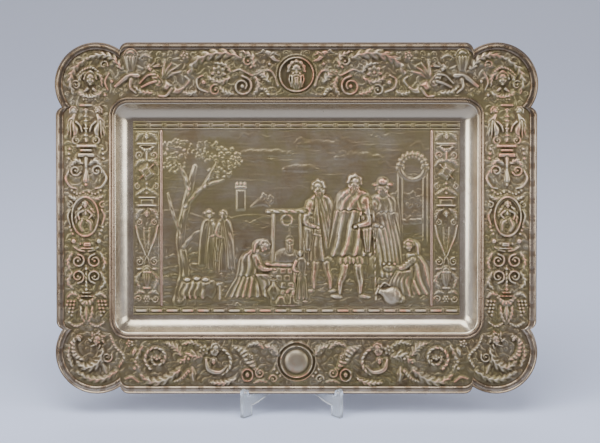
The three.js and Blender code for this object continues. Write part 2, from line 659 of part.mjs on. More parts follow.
// A panel stands on the diagonal, turned in by 45 degrees, and crosses its fellow at the middle,
// where each is slotted to half its height: one from above, the other from below.
function standPanel(side, slotFromTop) {
  const panel = new THREE.ExtrudeGeometry(standOutline(), {
    depth: STAND_SHEET,
    bevelEnabled: false,
    curveSegments: 8,
  });
  panel.translate(0, 0, -STAND_SHEET / 2);
  const crossing = HOOK_SPACING * Math.SQRT1_2;
  const topThere = LEDGE_HEIGHT + (crossing - backRest(LEDGE_HEIGHT)) / (Math.SQRT2 * Math.tan(LEAN));
  const seam = (ARCH_HEIGHT + topThere) / 2 + (slotFromTop ? -FIT_GAP : FIT_GAP) / 2;
  const slotHeight = STAND_HEIGHT * 2;
  const slot = new THREE.BoxGeometry(STAND_SHEET + FIT_GAP * 2, slotHeight, STAND_SHEET * 3);
  slot.translate(crossing, seam + (slotFromTop ? slotHeight : -slotHeight) / 2, 0);
  const geometry = geometryFrom(solidFrom(panel).subtract(solidFrom(slot)));
  geometry.rotateX(QUARTER_TURN);
  geometry.rotateZ(side > 0 ? Math.PI * 0.75 : Math.PI * 0.25);
  geometry.translate(STAND_SHIFT + (side * HOOK_SPACING) / 2, 0, 0);
  return geometry;
}

const plated = new THREE.MeshStandardMaterial({ color: 0x7d7361, roughness: 0.38, metalness: 0.9 });
const clear = new THREE.MeshStandardMaterial({ color: 0xd9dde0, roughness: 0.1, metalness: 0 });

function named(name, geometry, material) {
  const mesh = new THREE.Mesh(geometry, material);
  mesh.name = name;
  return mesh;
}

const tray = named("relief_tray", geometryFrom(reliefTray()), plated);
tray.rotation.x = QUARTER_TURN - LEAN;
tray.position.set(0, TRAY_Y, TRAY_Z);

const object = new THREE.Group();
object.add(
  tray,
  named("stand_panel_left", standPanel(-1, true), clear),
  named("stand_panel_right", standPanel(1, false), clear),
);

// The origin is at the middle of the footprint, on the surface that the stand's feet rest on.
const reach = new THREE.Box3().setFromObject(object);
const middleY = (reach.min.y + reach.max.y) / 2;
for (const piece of object.children) piece.position.y -= middleY;

export default object;
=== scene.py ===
# %% [markdown]
# A relief tray on a clear stand. The tray is one sheet of brass, pressed over a sunk die and plated
# with silver, and the plate has worn off its high points. In this lesson its relief is modelled as a
# sheet of wax would be: every leaf, scroll and figure is pressed into a map of heights, and the
# finished map is then laid over the tray's own surfaces. We start with the frame, which holds the
# sizes and the place of every part.

# %% The frame and its box
from math import atan2, cos, degrees, hypot, pi, radians, sin, sqrt, tan

import bmesh
import bpy
import numpy as np
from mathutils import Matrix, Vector


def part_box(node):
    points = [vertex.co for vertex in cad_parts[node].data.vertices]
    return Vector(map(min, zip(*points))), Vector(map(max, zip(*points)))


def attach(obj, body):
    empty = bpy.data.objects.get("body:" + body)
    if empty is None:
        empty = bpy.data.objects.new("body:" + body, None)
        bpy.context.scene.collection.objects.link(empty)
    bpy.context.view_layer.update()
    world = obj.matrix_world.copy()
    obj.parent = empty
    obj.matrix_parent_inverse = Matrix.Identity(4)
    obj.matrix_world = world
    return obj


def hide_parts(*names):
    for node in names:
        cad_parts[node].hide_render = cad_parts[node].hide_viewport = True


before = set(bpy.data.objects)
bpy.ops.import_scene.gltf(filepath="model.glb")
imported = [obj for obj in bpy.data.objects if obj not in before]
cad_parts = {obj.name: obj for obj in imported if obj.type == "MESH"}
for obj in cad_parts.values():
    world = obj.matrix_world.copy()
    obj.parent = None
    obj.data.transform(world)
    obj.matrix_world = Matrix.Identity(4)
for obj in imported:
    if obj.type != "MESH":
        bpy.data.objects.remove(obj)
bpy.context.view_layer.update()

# %% [markdown]
# The tray's own plan has u to the right, v up the tray and w out of its face, in millimetres, with
# w = 0 on the ground of the rim. These are the sizes that a maker would mark out first. The rim's two
# axes, along which its ornament is strung, follow from them.

# %% Sizes of the tray
MM = 0.001
WIDTH, HEIGHT = 500.0, 364.0
LOBE_RADIUS = 43.0
NOTCH = 67.0
SHOULDER = 9.0
SIDE_STEP = 1.0
SHEET = 1.5
BAND = 8.0
EDGE_RISE = 2.2
ROLL_DROP = 1.4
WELL_W, WELL_H, WELL_CORNER, WELL_DEPTH = 377.0, 239.0, 14.0, 13.0
COVE = 16.5
COVE_FOOT_CORNER = 4.0
MOULDING, MOULDING_RISE = 6.0, 1.8
PANEL_MARGIN = 1.8
STRIP = 9.0
PILASTER = 28.0
BAR = 2.6
LEAN = radians(15)

half_w, half_h = WIDTH / 2, HEIGHT / 2
panel_u, panel_v = WELL_W / 2 - COVE, WELL_H / 2 - COVE
frame_u, frame_v = panel_u - PANEL_MARGIN, panel_v - PANEL_MARGIN
well_edge_u, well_edge_v = WELL_W / 2 + MOULDING, WELL_H / 2 + MOULDING
side_axis = (well_edge_u + half_w - SIDE_STEP - BAND) / 2
border_axis = (well_edge_v + half_h - BAND) / 2
lobe_u, lobe_v = half_w - LOBE_RADIUS, half_h - LOBE_RADIUS
print("rim axes at u", side_axis, "and v", border_axis)

# %% [markdown]
# The plan leans back on the stand. Finished pieces keep their place in their own mesh, so instead of
# turning them later, one function carries points from the plan into the frame.

# %% From the plan into the frame
tray_lo, tray_hi = (np.array(corner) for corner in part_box("relief_tray"))
edge_behind = (SHEET + ROLL_DROP) * MM
tray_y = tray_hi[1] - half_h * MM * sin(LEAN) - edge_behind * cos(LEAN)
tray_z = tray_lo[2] + half_h * MM * cos(LEAN) + edge_behind * sin(LEAN)


def onto_stand(u, v, w):
    """Points of the plan in the frame: u stays across, v climbs and leans back, w comes forward."""
    across = u * MM
    back = tray_y + v * MM * sin(LEAN) - w * MM * cos(LEAN)
    up = tray_z + v * MM * cos(LEAN) + w * MM * sin(LEAN)
    return np.stack(np.broadcast_arrays(across, back, up), axis=-1)


print("the middle of the tray is at", np.round(onto_stand(0.0, 0.0, 0.0), 4))

# %% [markdown]
# The camera looks at the tray from the front, a little above its middle, so that the sheet is almost
# square to the view. A long lens keeps the sides nearly parallel. The lens follows from the distance
# and from how many millimetres of the tray one pixel shows.

# %% Camera
PHOTO_W, PHOTO_H = 600, 443
MM_PER_PIXEL = 1.036
TRAY_PIXEL = (296.5, 218.4)
DISTANCE = 1.8
ELEVATION = radians(16.4)

aim_u = (PHOTO_W / 2 - TRAY_PIXEL[0]) * MM_PER_PIXEL
aim_v = (TRAY_PIXEL[1] - PHOTO_H / 2) * MM_PER_PIXEL
aim = Vector(onto_stand(aim_u, aim_v, 0.0))
camera_data = bpy.data.cameras.new("camera")
camera_data.sensor_width = 36.0
camera_data.lens = camera_data.sensor_width * DISTANCE / (PHOTO_W * MM_PER_PIXEL * MM)
camera = bpy.data.objects.new("camera", camera_data)
camera.location = aim + DISTANCE * Vector((0, -cos(ELEVATION), sin(ELEVATION)))
camera.rotation_euler = (pi / 2 - ELEVATION, 0, 0)
bpy.context.collection.objects.link(camera)
bpy.context.scene.camera = camera
print("lens", round(camera_data.lens, 1), "mm")

# %% [markdown]
# Every surface is an array of points in rows and columns. One helper lists the faces between
# neighbouring points, and the other makes the object and checks that its faces look outwards.

# %% Meshes from arrays
def object_from(name, points, faces, smooth, closed=True):
    """A mesh object at the origin, from an array of points and a list of faces. A closed mesh must
    hold a positive volume: if it doesn't, its faces look inwards, and they are turned round."""
    mesh = bpy.data.meshes.new(name)
    mesh.from_pydata(points.reshape(-1, 3).tolist(), [], faces)
    mesh.polygons.foreach_set("use_smooth", np.broadcast_to(smooth, len(mesh.polygons)).copy())
    mesh.update()
    if closed:
        measured = bmesh.new()
        measured.from_mesh(mesh)
        volume = measured.calc_volume(signed=True)
        measured.free()
        if volume < 0:
            mesh.flip_normals()
            print(name, "turned round")
    made = bpy.data.objects.new(name, mesh)
    bpy.context.collection.objects.link(made)
    return made


def quads(rows, columns, loop_rows=False, loop_columns=False):
    """Faces of a grid of points counted row by row, each from a point and its three neighbours."""
    r = np.arange(rows if loop_rows else rows - 1)[:, None]
    c = np.arange(columns if loop_columns else columns - 1)[None, :]
    right, down = (c + 1) % columns, (r + 1) % rows
    corners = (r * columns + c, r * columns + right, down * columns + right, down * columns + c)
    return np.stack(np.broadcast_arrays(*corners), axis=-1).reshape(-1, 4)


print("a grid of 3 by 4 points has", len(quads(3, 4)), "faces")

# %% [markdown]
# The studio is a wide sheet of pale, bluish grey paper under a broad soft light, with weaker ones on
# each side and one far behind. Polished metal shows what it reflects, so the lights are large.

# %% Paper and lights
FLOOR_HALF = 14.0


def paper_floor():
    """One flat sheet of paper, wide enough to fill the view from every side."""
    x, y = np.meshgrid([-FLOOR_HALF, FLOOR_HALF], [-FLOOR_HALF, FLOOR_HALF])
    corners = np.stack([x, y, 0 * x], axis=-1)
    return object_from("paper_floor", corners, quads(2, 2).tolist(), False, closed=False)


def soft_light(name, place, look_at, size, watts, colour=(1, 1, 1)):
    """A rectangle of light at a place, turned towards the point that it lights."""
    data = bpy.data.lights.new(name, "AREA")
    data.shape = "RECTANGLE"
    data.size, data.size_y = size
    data.energy = watts
    data.color = colour
    lamp = bpy.data.objects.new(name, data)
    lamp.location = place
    lamp.rotation_euler = (Vector(look_at) - Vector(place)).to_track_quat("-Z", "Y").to_euler()
    bpy.context.collection.objects.link(lamp)
    return lamp


paper_sheet = paper_floor()
soft_light("overhead", (-0.2, -0.5, 1.7), (0, 0, 0.15), (1.5, 1.0), 27, (0.94, 0.965, 1.0))
soft_light("left_fill", (-1.6, -0.9, 0.9), (0, 0, 0.2), (0.9, 1.2), 22, (0.95, 0.975, 1.0))
soft_light("right_fill", (1.6, -0.7, 0.9), (0, 0, 0.2), (0.9, 1.2), 18, (0.95, 0.975, 1.0))
soft_light("far_floor", (0, 3.1, 2.3), (0, 2.5, 0), (5.0, 1.6), 36)
world = bpy.data.worlds.new("studio_air")
world.use_nodes = True
world.node_tree.nodes["Background"].inputs["Color"].default_value = (0.68, 0.65, 0.74, 1)
world.node_tree.nodes["Background"].inputs["Strength"].default_value = 0.42
bpy.context.scene.world = world
print("lights:", [lamp.name for lamp in bpy.data.lights])

# %% [markdown]
# The outline is a rectangle with a round lobe at each corner. A quarter of it has five stretches:
# half of the side, a small round shoulder, the lobe, the other shoulder and half of the top. The
# rounded rectangle of the well has the same five stretches, so any loop between the two is a blend
# of them, and a grid of points can run from one to the other.

# %% Lines, arcs and the scalloped outline
def stretch_line(start, end, count):
    """Points at even shares of the way from start to end."""
    share = np.linspace(0, 1, count)[:, None]
    return np.array(start) * (1 - share) + np.array(end) * share


def stretch_arc(centre, radius, start, end, count):
    """Points of a circle at even turns from start to end."""
    turn = np.linspace(start, end, count)
    return np.stack([centre[0] + radius * np.cos(turn), centre[1] + radius * np.sin(turn)], axis=-1)


def scallop_quarter(inset, counts):
    """Five stretches of the outline moved inwards: circles of the same centres, cut where they meet."""
    centre = (lobe_u, lobe_v)
    radius = LOBE_RADIUS - inset
    side, top = half_w - SIDE_STEP - inset, half_h - inset
    away = LOBE_RADIUS - NOTCH
    reach = sqrt(radius**2 - away**2)
    top_notch, side_notch = (centre[0] + away, centre[1] + reach), (centre[0] + reach, centre[1] + away)
    top_run = sqrt(SHOULDER**2 - (top_notch[1] - top + SHOULDER) ** 2)
    side_run = sqrt(SHOULDER**2 - (side_notch[0] - side + SHOULDER) ** 2)
    top_c, side_c = (top_notch[0] - top_run, top - SHOULDER), (side - SHOULDER, side_notch[1] - side_run)

    def angle(c, p):
        return atan2(p[1] - c[1], p[0] - c[0])

    return [
        stretch_line((side, 0), (side, side_c[1]), counts[0]),
        stretch_arc(side_c, SHOULDER, 0, angle(side_c, side_notch), counts[1]),
        stretch_arc(centre, radius, angle(centre, side_notch), angle(centre, top_notch), counts[2]),
        stretch_arc(top_c, SHOULDER, angle(top_c, top_notch), pi / 2, counts[3]),
        stretch_line((top_c[0], top), (0, top), counts[4]),
    ]


print("a quarter of the outline has", sum(map(len, scallop_quarter(0, (3, 3, 3, 3, 3)))), "points at least")

# %% [markdown]
# The well's edge is a rounded rectangle in five stretches too, matched to the outline's so that no
# cell of the grid is skewed. Three mirror images close a quarter to a whole loop.

# %% The well's outline and whole loops
def rounded_quarter(half_u, half_v, corner, counts):
    """Five stretches of a rounded rectangle, matched to those of the outline."""
    u, v = half_u - corner, half_v - corner
    share_u = (half_w - NOTCH - SHOULDER) / (half_w - NOTCH)
    share_v = (half_h - NOTCH - SHOULDER) / (half_h - NOTCH)
    return [
        stretch_line((half_u, 0), (half_u, v * share_v), counts[0]),
        stretch_line((half_u, v * share_v), (half_u, v), counts[1]),
        stretch_arc((u, v), corner, 0, pi / 2, counts[2]),
        stretch_line((u, half_v), (u * share_u, half_v), counts[3]),
        stretch_line((u * share_u, half_v), (0, half_v), counts[4]),
    ]


def whole_loop(quarter):
    """A closed loop, counter-clockwise from the front: the quarter, and its three mirror images."""
    one = np.concatenate([quarter[0]] + [part[1:] for part in quarter[1:]])
    flip_u, flip_v = np.array([-1, 1]), np.array([1, -1])
    upper_left, lower_left = np.concatenate([one[-2:0:-1], one[:1]]) * flip_u, one[1:] * -1
    return np.concatenate([one, upper_left, lower_left, one[-2:0:-1] * flip_v])


def well_quarter(grow, counts):
    """The well's edge moved outwards."""
    return rounded_quarter(WELL_W / 2 + grow, WELL_H / 2 + grow, WELL_CORNER + grow, counts)


outline = whole_loop(scallop_quarter(0, (90, 12, 90, 12, 150)))
print("outline", len(outline), "points, reaches", outline.max(axis=0), "mm")

# %% [markdown]
# Now the wax. A field is a grid of heights over a piece of the plan. To press a form into it, we work
# out for every point nearby how far it is from the middle of the form, as a share q of the way to its
# edge. Inside, the height falls from the middle to the edge. Just outside, a shallow moat is cut, as a
# chaser does with a liner, so that a form laid over another stands clear of it.

# %% A field of wax and the press
def wax_field(u_from, u_to, v_from, v_to, step):
    """A flat field: its columns' u, its rows' v, the step between them and its heights w."""
    u, v = np.arange(u_from, u_to + step / 2, step), np.arange(v_from, v_to + step / 2, step)
    return {"u": u, "v": v, "step": step, "w": np.zeros((len(v), len(u)))}


def near(wax, u_lo, u_hi, v_lo, v_hi):
    """The rows and columns of a field between two corners, and their u and v."""
    c0, c1 = np.searchsorted(wax["u"], [u_lo, u_hi])
    r0, r1 = np.searchsorted(wax["v"], [v_lo, v_hi])
    place = (slice(r0, r1), slice(c0, c1))
    u, v = np.meshgrid(wax["u"][place[1]], wax["v"][place[0]])
    return place, u, v


def press(wax, place, q, height, keep=0.4, cut=0.62, moat=0.45):
    """Inside q = 1 the height wins over what is left of the old one; outside lies the moat."""
    old = wax["w"][place]
    fade = np.clip((q - 1) / moat, 0, 1)
    outside = old * (cut + (1 - cut) * fade)
    wax["w"][place] = np.where(q < 1, np.maximum(old * keep, height), outside)


def moved(wax, u, v):
    """The same wax seen from another origin: what is pressed at 0, 0 lands at u, v."""
    return {**wax, "u": wax["u"] - u, "v": wax["v"] - v}


def tell(what, wax):
    """Print how high a wax rises."""
    print(what, "up to", round(wax["w"].max(), 2), "mm")


trial = wax_field(-10, 10, -10, 10, 0.5)
print("a trial field has", trial["w"].size, "points")

# %% [markdown]
# Buds, eyes, fruit and bosses are domes, and the frames of the medallions are hoops. For both, the
# share q comes from the radii of an oval.

# %% Domes and hoops
def dome(wax, u, v, ru, rv=None, height=2.0, turn=0.0, flat=2.4, **how):
    """An oval boss: q is the distance in radii, and the height is 1 minus q to a power."""
    rv = ru if rv is None else rv
    reach = max(ru, rv) * 1.6
    place, gu, gv = near(wax, u - reach, u + reach, v - reach, v + reach)
    c, s = cos(radians(turn)), sin(radians(turn))
    du, dv = gu - u, gv - v
    q = np.hypot((du * c + dv * s) / ru, (dv * c - du * s) / rv)
    press(wax, place, q, height * (1 - np.minimum(q, 1) ** flat), **how)


def hoop(wax, u, v, ru, rv, width, height=1.6, **how):
    """A round or oval ring: q is the distance from its middle line, in half widths."""
    reach = max(ru, rv) + width
    place, gu, gv = near(wax, u - reach, u + reach, v - reach, v + reach)
    radius = np.hypot((gu - u) / ru, (gv - v) / rv)
    q = np.abs(radius - 1) * min(ru, rv) / (width / 2)
    press(wax, place, q, height * (1 - np.minimum(q, 1) ** 2.2), **how)


dome(trial, 0, 0, 6)
tell("a dome in the trial field", trial)

# %% [markdown]
# Stems, arms and bars are rolls along a path. A bevelled Blender curve would only lie on the ground,
# but in the wax a roll melts into it. For each point we find the nearest place on the path.

# %% Curves and rolls
def curve(points, count=None):
    """A smooth run through a few points: the Catmull-Rom cubic between each pair."""
    p = np.array(points, float)
    if len(p) == 2:
        return p
    p = np.concatenate([[2 * p[0] - p[1]], p, [2 * p[-1] - p[-2]]])
    spans = len(p) - 3
    t = np.linspace(0, spans, count or spans * 5 + 1)
    i = np.minimum(t.astype(int), spans - 1)
    t = (t - i)[:, None]
    a, b, c, d = p[i], p[i + 1], p[i + 2], p[i + 3]
    return 0.5 * (2 * b + (c - a) * t + (2 * a - 5 * b + 4 * c - d) * t**2 + (3 * b - a - 3 * c + d) * t**3)


def nearest(u, v, path):
    """For every point, its distance from a path, its side of it, and its share of the way along."""
    best = np.full(u.shape, np.inf)
    side, share = np.zeros(u.shape), np.zeros(u.shape)
    steps = np.diff(path, axis=0)
    lengths = np.hypot(*steps.T)
    total, run = lengths.sum(), 0.0
    for start, step, length in zip(path[:-1], steps, lengths):
        if length < 1e-9:
            continue
        du, dv = u - start[0], v - start[1]
        t = np.clip((du * step[0] + dv * step[1]) / length**2, 0, 1)
        away = np.hypot(du - t * step[0], dv - t * step[1])
        closer = away < best
        best = np.where(closer, away, best)
        side = np.where(closer, np.sign(step[0] * dv - step[1] * du), side)
        share = np.where(closer, (run + t * length) / total, share)
        run += length
    return best, side, share, total


def along(values, share):
    """Values given at even shares of a path, read between them."""
    values = np.atleast_1d(values)
    return np.interp(share, np.linspace(0, 1, len(values)), values)


def roll(wax, points, half, height, twist=0.0, flutes=0, flat=2.2, **how):
    """A rounded roll along a path. Its half width and height change along it. A twist gives it the
    turns of a rope, that many millimetres apart, and flutes run along it."""
    path = curve(points)
    half = np.multiply(half, wax.get("plump", 1.0))
    reach = np.max(half) * 1.6 + 0.4
    lo, hi = path.min(axis=0) - reach, path.max(axis=0) + reach
    place, u, v = near(wax, lo[0], hi[0], lo[1], hi[1])
    away, side, share, total = nearest(u, v, path)
    q = away / along(half, share)
    rise = along(height, share) * (1 - np.minimum(q, 1) ** flat)
    if twist:
        rise *= 0.78 + 0.22 * np.cos(2 * pi * (share * total / twist + side * q * 0.3))
    if flutes:
        rise *= 0.82 + 0.18 * np.cos(pi * flutes * side * np.minimum(q, 1))
    press(wax, place, q, rise, **how)


roll(trial, [(-8, -6), (0, 2), (8, -6)], (1, 2, 1), 2.5)
print("a smooth run through 3 points has", len(curve([(0, 0), (4, 3), (8, 0)])), "points")

# %% [markdown]
# The acanthus leaf is the commonest motif, and the hardest. It is one press whose outline and height
# both follow the ribs, because leaflets pressed one by one look like a string of beads.

# %% Leaves, scrolls and flowers
def leaf(wax, points, half, height, lobes=4, **how):
    """An acanthus leaf along a path. Its ribs leave the midrib and lean towards the tip: a point belongs
    to the rib that began a little before it. The edge swells at each rib, and between ribs lies a fold."""
    path = curve(points)
    reach = half * 2.1 + 0.6
    lo, hi = path.min(axis=0) - reach, path.max(axis=0) + reach
    place, u, v = near(wax, lo[0], hi[0], lo[1], hi[1])
    away, side, share, total = nearest(u, v, path)
    ribs = (0.8 * lobes + 1) * (share - 0.9 * away / total) + np.where(side > 0, 0.0, 0.35)
    rib = np.abs(np.sin(pi * ribs)) ** 0.8
    outline = half * 1.42 * (0.3 + 0.7 * np.sin(pi * np.clip(0.14 + 0.8 * share, 0, 1)) ** 0.8)
    q = away / (outline * (0.6 + 0.4 * rib))
    rise = along((0.8 * height, height, 0.75 * height), share) * (1 - np.minimum(q, 1) ** 2.6)
    rise = rise * (0.5 + 0.5 * rib)
    midrib = 0.4 * height * np.exp(-((away / (0.16 * half)) ** 2)) * (share < 0.9)
    press(wax, place, q, rise + midrib * (q < 1), **{"keep": 0.5, "moat": 0.3, **how})


def volute(wax, u, v, radius, hand=1, start=0.0, turns=1.2, half=None, height=2.0, eye=True, **how):
    """A stem that winds inwards: the radius shrinks evenly with the turn. A bud sits in its eye."""
    share = np.linspace(0, 1, int(turns * 16) + 2)
    turn = radians(start) + hand * share * turns * 2 * pi
    reach = radius * (1 - 0.62 * share)
    path = np.stack([u + reach * np.cos(turn), v + reach * np.sin(turn)], axis=-1)
    half = half or radius * 0.16
    roll(wax, path[:: 2 if len(path) > 12 else 1], (half, half * 0.75), (height, height * 0.8), **how)
    if eye:
        dome(wax, u, v, radius * 0.27, height=height * 1.15, moat=0.3)


def flower(wax, u, v, radius, petals=6, height=2.0, turn=0.0):
    """A rosette: the edge swells once for each petal, and each petal is hollow along its middle."""
    place, gu, gv = near(wax, u - radius * 1.4, u + radius * 1.4, v - radius * 1.4, v + radius * 1.4)
    r, angle = np.hypot(gu - u, gv - v), np.arctan2(gv - v, gu - u) + radians(turn)
    petal = np.abs(np.cos(angle * petals / 2))
    q = r / (radius * (0.68 + 0.32 * petal))
    inside = np.minimum(q, 1)
    press(wax, place, q, height * (0.45 + 0.55 * inside) * (1 - inside**5) * (0.7 + 0.3 * petal))
    dome(wax, u, v, radius * 0.28, height=height * 1.1, moat=0.2)


leaf(trial, [(-8, 0), (0, 4), (8, 0)], 3, 2, 5)
tell("with a leaf over them, the trial forms", trial)

# %% [markdown]
# Beads are domes at even steps along a path, and a plate is a rectangle with bevelled edges. They fill
# the gaps between larger motifs.

# %% Beads and plates
def beads(wax, points, radius, pitch, height=1.4):
    """Round beads at even steps along a path."""
    path = curve(points)
    run = np.concatenate([[0], np.cumsum(np.hypot(*np.diff(path, axis=0).T))])
    places = np.linspace(0, run[-1], max(2, int(run[-1] / pitch) + 1))
    for u, v in zip(np.interp(places, run, path[:, 0]), np.interp(places, run, path[:, 1])):
        dome(wax, u, v, radius, height=height, keep=0.3, moat=0.3)


def plate(wax, u, v, width, height_v, rise, turn=0.0, **how):
    """A flat bar with bevelled edges: q is the larger of the two shares of its half sizes."""
    reach = hypot(width, height_v) * 0.8
    place, gu, gv = near(wax, u - reach, u + reach, v - reach, v + reach)
    c, s = cos(radians(turn)), sin(radians(turn))
    du, dv = (gu - u) * c + (gv - v) * s, (gv - v) * c - (gu - u) * s
    q = np.maximum(np.abs(du) / (width / 2), np.abs(dv) / (height_v / 2))
    press(wax, place, q, rise * np.clip((1 - q) * 4, 0, 1), **how)


beads(trial, [(-8, 8), (8, 8)], 1, 2)
plate(trial, 0, -8, 12, 2, 1)
print("the trial field is", round(float((trial["w"] > 0.1).mean()), 2), "covered")

# %% [markdown]
# Wax softens every edge, so a finished map is smoothed by a bell curve, which is one multiplication of
# its frequencies. Random grain smoothed the same way gives cloth, clouds and rough ground.

# %% Smoothing and grain
def blurred(height, reach, step):
    """The map smoothed by a bell curve of a given reach in millimetres, through its frequencies."""
    rows, columns = height.shape
    fu, fv = np.fft.rfftfreq(columns, step), np.fft.fftfreq(rows, step)
    bell = np.exp(-2 * (pi * reach) ** 2 * (fu[None, :] ** 2 + fv[:, None] ** 2))
    return np.fft.irfft2(np.fft.rfft2(height) * bell, s=height.shape)


def grain(wax, reach_u, reach_v, seed):
    """A random map, smoothed more along one way than the other, between about -1 and 1."""
    rows, columns = wax["w"].shape
    rough = np.random.default_rng(seed).standard_normal((rows, columns))
    fu, fv = np.fft.rfftfreq(columns, wax["step"]), np.fft.fftfreq(rows, wax["step"])
    bell = np.exp(-2 * pi**2 * ((fu[None, :] * reach_u) ** 2 + (fv[:, None] * reach_v) ** 2))
    soft = np.fft.irfft2(np.fft.rfft2(rough) * bell, s=(rows, columns))
    return np.clip(soft / (2 * soft.std()), -1, 1)


print("smoothed, the trial forms rise", round(blurred(trial["w"], 0.6, 0.5).max(), 2), "mm")

# %% [markdown]
# Chasers leave no ground empty: they cut short strokes or fill it with small leaves and buds. Both are
# placed by a seeded draw, so each run gives the same tray.

# %% Graver strokes and small leaves
def directions(turn):
    """The way ahead and the way aside of an angle."""
    return np.array([cos(turn), sin(turn)]), np.array([-sin(turn), cos(turn)])


def strokes(wax, allowed, count, length, half, rise, bow, seed, lean=(0, 0)):
    """Short graver strokes at random places of an allowed area. Each waves a little, and they are
    level unless a range of leans is given, in degrees."""
    rng = np.random.default_rng(seed)
    rows, columns = np.nonzero(allowed)
    for pick in rng.integers(len(rows), size=count):
        u, v = wax["u"][columns[pick]], wax["v"][rows[pick]]
        long, lift = rng.uniform(*length) / 2, rng.uniform(-bow, bow)
        turn = radians(rng.uniform(*lean))
        ahead, aside = directions(turn)
        steps = ((-long, -lift), (-long / 3, lift), (long / 3, -lift), (long, lift * 0.5))
        path = [np.array([u, v]) + ahead * x + aside * y for x, y in steps]
        tall = rise * rng.uniform(0.6, 1.0)
        halves, heights = (half * 0.4, half, half, half * 0.4), (tall * 0.6, tall, tall, tall * 0.6)
        roll(wax, path, halves, heights, keep=1, cut=1)


def fill_bare(wax, allowed, sizes, rise, seed, tries=700):
    """Small leaves, tendrils and buds wherever the ground is still bare. They run under what is there."""
    rng = np.random.default_rng(seed)
    free = allowed & (blurred(wax["w"], 1.3, wax["step"]) < 0.42)
    pressed = 0
    for _ in range(tries):
        rows, columns = np.nonzero(free[::3, ::3])
        if len(rows) == 0:
            break
        pick = rng.integers(len(rows))
        u, v = wax["u"][columns[pick] * 3], wax["v"][rows[pick] * 3]
        size, turn, kind = rng.uniform(*sizes), rng.uniform(0, 360), rng.random()
        if kind < 0.38:
            volute(wax, u, v, size * 0.62, rng.choice([-1, 1]), turn, 1.1, size * 0.15, rise, keep=1, cut=1)
        elif kind < 0.55:
            dome(wax, u, v, size * 0.34, size * 0.52, rise, turn, keep=1, cut=1)
            hoop(wax, u, v, size * 0.52, size * 0.52, size * 0.16, rise * 0.8, keep=1, cut=1)
        else:
            bow = rng.uniform(-0.5, 0.5) * size
            (ahead, aside), here = directions(radians(turn)), np.array([u, v])
            halves = (size * 0.13, size * 0.34, size * 0.1)
            path = [here - ahead * size, here + aside * bow, here + ahead * size]
            roll(wax, path, halves, (rise * 0.8, rise, rise * 0.6), keep=1, cut=1, flutes=2)
        gap = size * 1.15
        c, r, n = columns[pick] * 3, rows[pick] * 3, int(gap / wax["step"])
        free[max(0, r - n) : r + n, max(0, c - n) : c + n] = False
        pressed += 1
    return pressed


everywhere = np.ones(trial["w"].shape, bool)
print("small leaves that still fit into the trial field:", fill_bare(trial, everywhere, (2.8, 5.0), 1.0, 1))

# %% [markdown]
# A head is a few presses in fixed proportions of its own size: skull, wavy locks, forehead, brow,
# nose, cheeks, mouth and perhaps a beard. The proportions are those of a drawing book, so every face
# is a general one.

# %% Heads
def own_units(u, v, wide, tall, turn=0.0):
    """A function from a form's own units to the plan: x counts widths, y heights, after a turn."""
    c, s = cos(radians(turn)), sin(radians(turn))

    def at(x, y):
        return (u + wide * (x * c - y * s), v + tall * (x * s + y * c))

    return at


def head(wax, u, v, size, tilt=0.0, beard=0.0, locks=5, height=3.0, facing=0.0, spread=0.34):
    """A head seen from the front, in units of half its width. Tilt turns it, facing shifts the face,
    and spread is how far the ends of the beard stand apart."""
    at = own_units(u, v, size, size, tilt)

    def spot(x, y, rx, ry, rise, **how):
        dome(wax, *at(x, y), size * rx, size * ry, height=rise, turn=tilt, **how)

    spot(0, 0.35, 1.12, 1.25, height * 0.72)
    for reach in (1.0, 0.8):
        turns = np.radians(np.linspace(-12, 192, locks + 4))
        wavy = reach * (1 + 0.07 * np.cos(np.arange(locks + 4) * pi))
        strand = [at(r * cos(a), 0.34 + 1.05 * r * sin(a)) for r, a in zip(wavy, turns)]
        tall = height * (0.72 if reach == 1.0 else 0.84)
        roll(wax, strand, size * 0.13, tall, keep=0.9, cut=0.85, moat=0.2)
    spot(facing * 0.2, 0.05, 0.8, 1.02, height * 0.88, keep=0.7, moat=0.15)
    spot(facing * 0.2, 0.62, 0.66, 0.5, height * 1.02, flat=3, keep=0.95, cut=1)
    brow = [at(-0.5, 0.4), at(facing * 0.2, 0.35), at(0.5, 0.4)]
    nose = [at(facing * 0.25, 0.4), at(facing * 0.35, -0.12)]
    mouth = [at(-0.24, -0.42), at(facing * 0.25, -0.38), at(0.24, -0.42)]
    roll(wax, brow, size * 0.13, height * 0.98, keep=0.97, cut=0.97)
    roll(wax, nose, size * 0.14, (height, height * 1.12), keep=0.95, cut=0.96)
    for side in (-1, 1):
        spot(side * 0.36 + facing * 0.15, 0.2, 0.16, 0.11, height * 0.66, keep=0.72, cut=1)
        spot(side * 0.42 + facing * 0.15, -0.15, 0.26, 0.28, height * 0.96, keep=0.95, cut=1)
    roll(wax, mouth, size * 0.08, height * 0.98, keep=0.9, cut=0.88)
    spot(facing * 0.2, -0.68, 0.32, 0.26, height * 0.96, keep=0.9, cut=1)
    if beard:
        broad, deep = spread + 0.26, 0.35 + 0.6 * beard
        spot(0, -0.8 - 0.4 * beard, broad, deep, height * 0.74, flat=3, keep=0.9, cut=0.9)
        for i in range(9):
            x = (i - 4) / 4
            wave = 0.07 * (-1) ** i
            start = at(0.78 * x, -0.3 - 0.26 * (1 - abs(x)))
            middle = at((0.43 + 0.5 * spread) * x + wave, -0.68 - 0.4 * beard * (1 - 0.5 * x * x))
            end = at(spread * x - wave, -0.95 - beard * (1 - 0.55 * x * x))
            tall = (height * 0.95, height * 0.92, height * 0.6)
            roll(wax, [start, middle, end], size * 0.13, tall, keep=0.9, cut=0.82, moat=0.2)
        for side in (-1, 1):
            moustache = [at(0, -0.3), at(side * 0.3, -0.36), at(side * 0.5, -0.58)]
            roll(wax, moustache, size * 0.11, height, keep=0.9, cut=0.9)


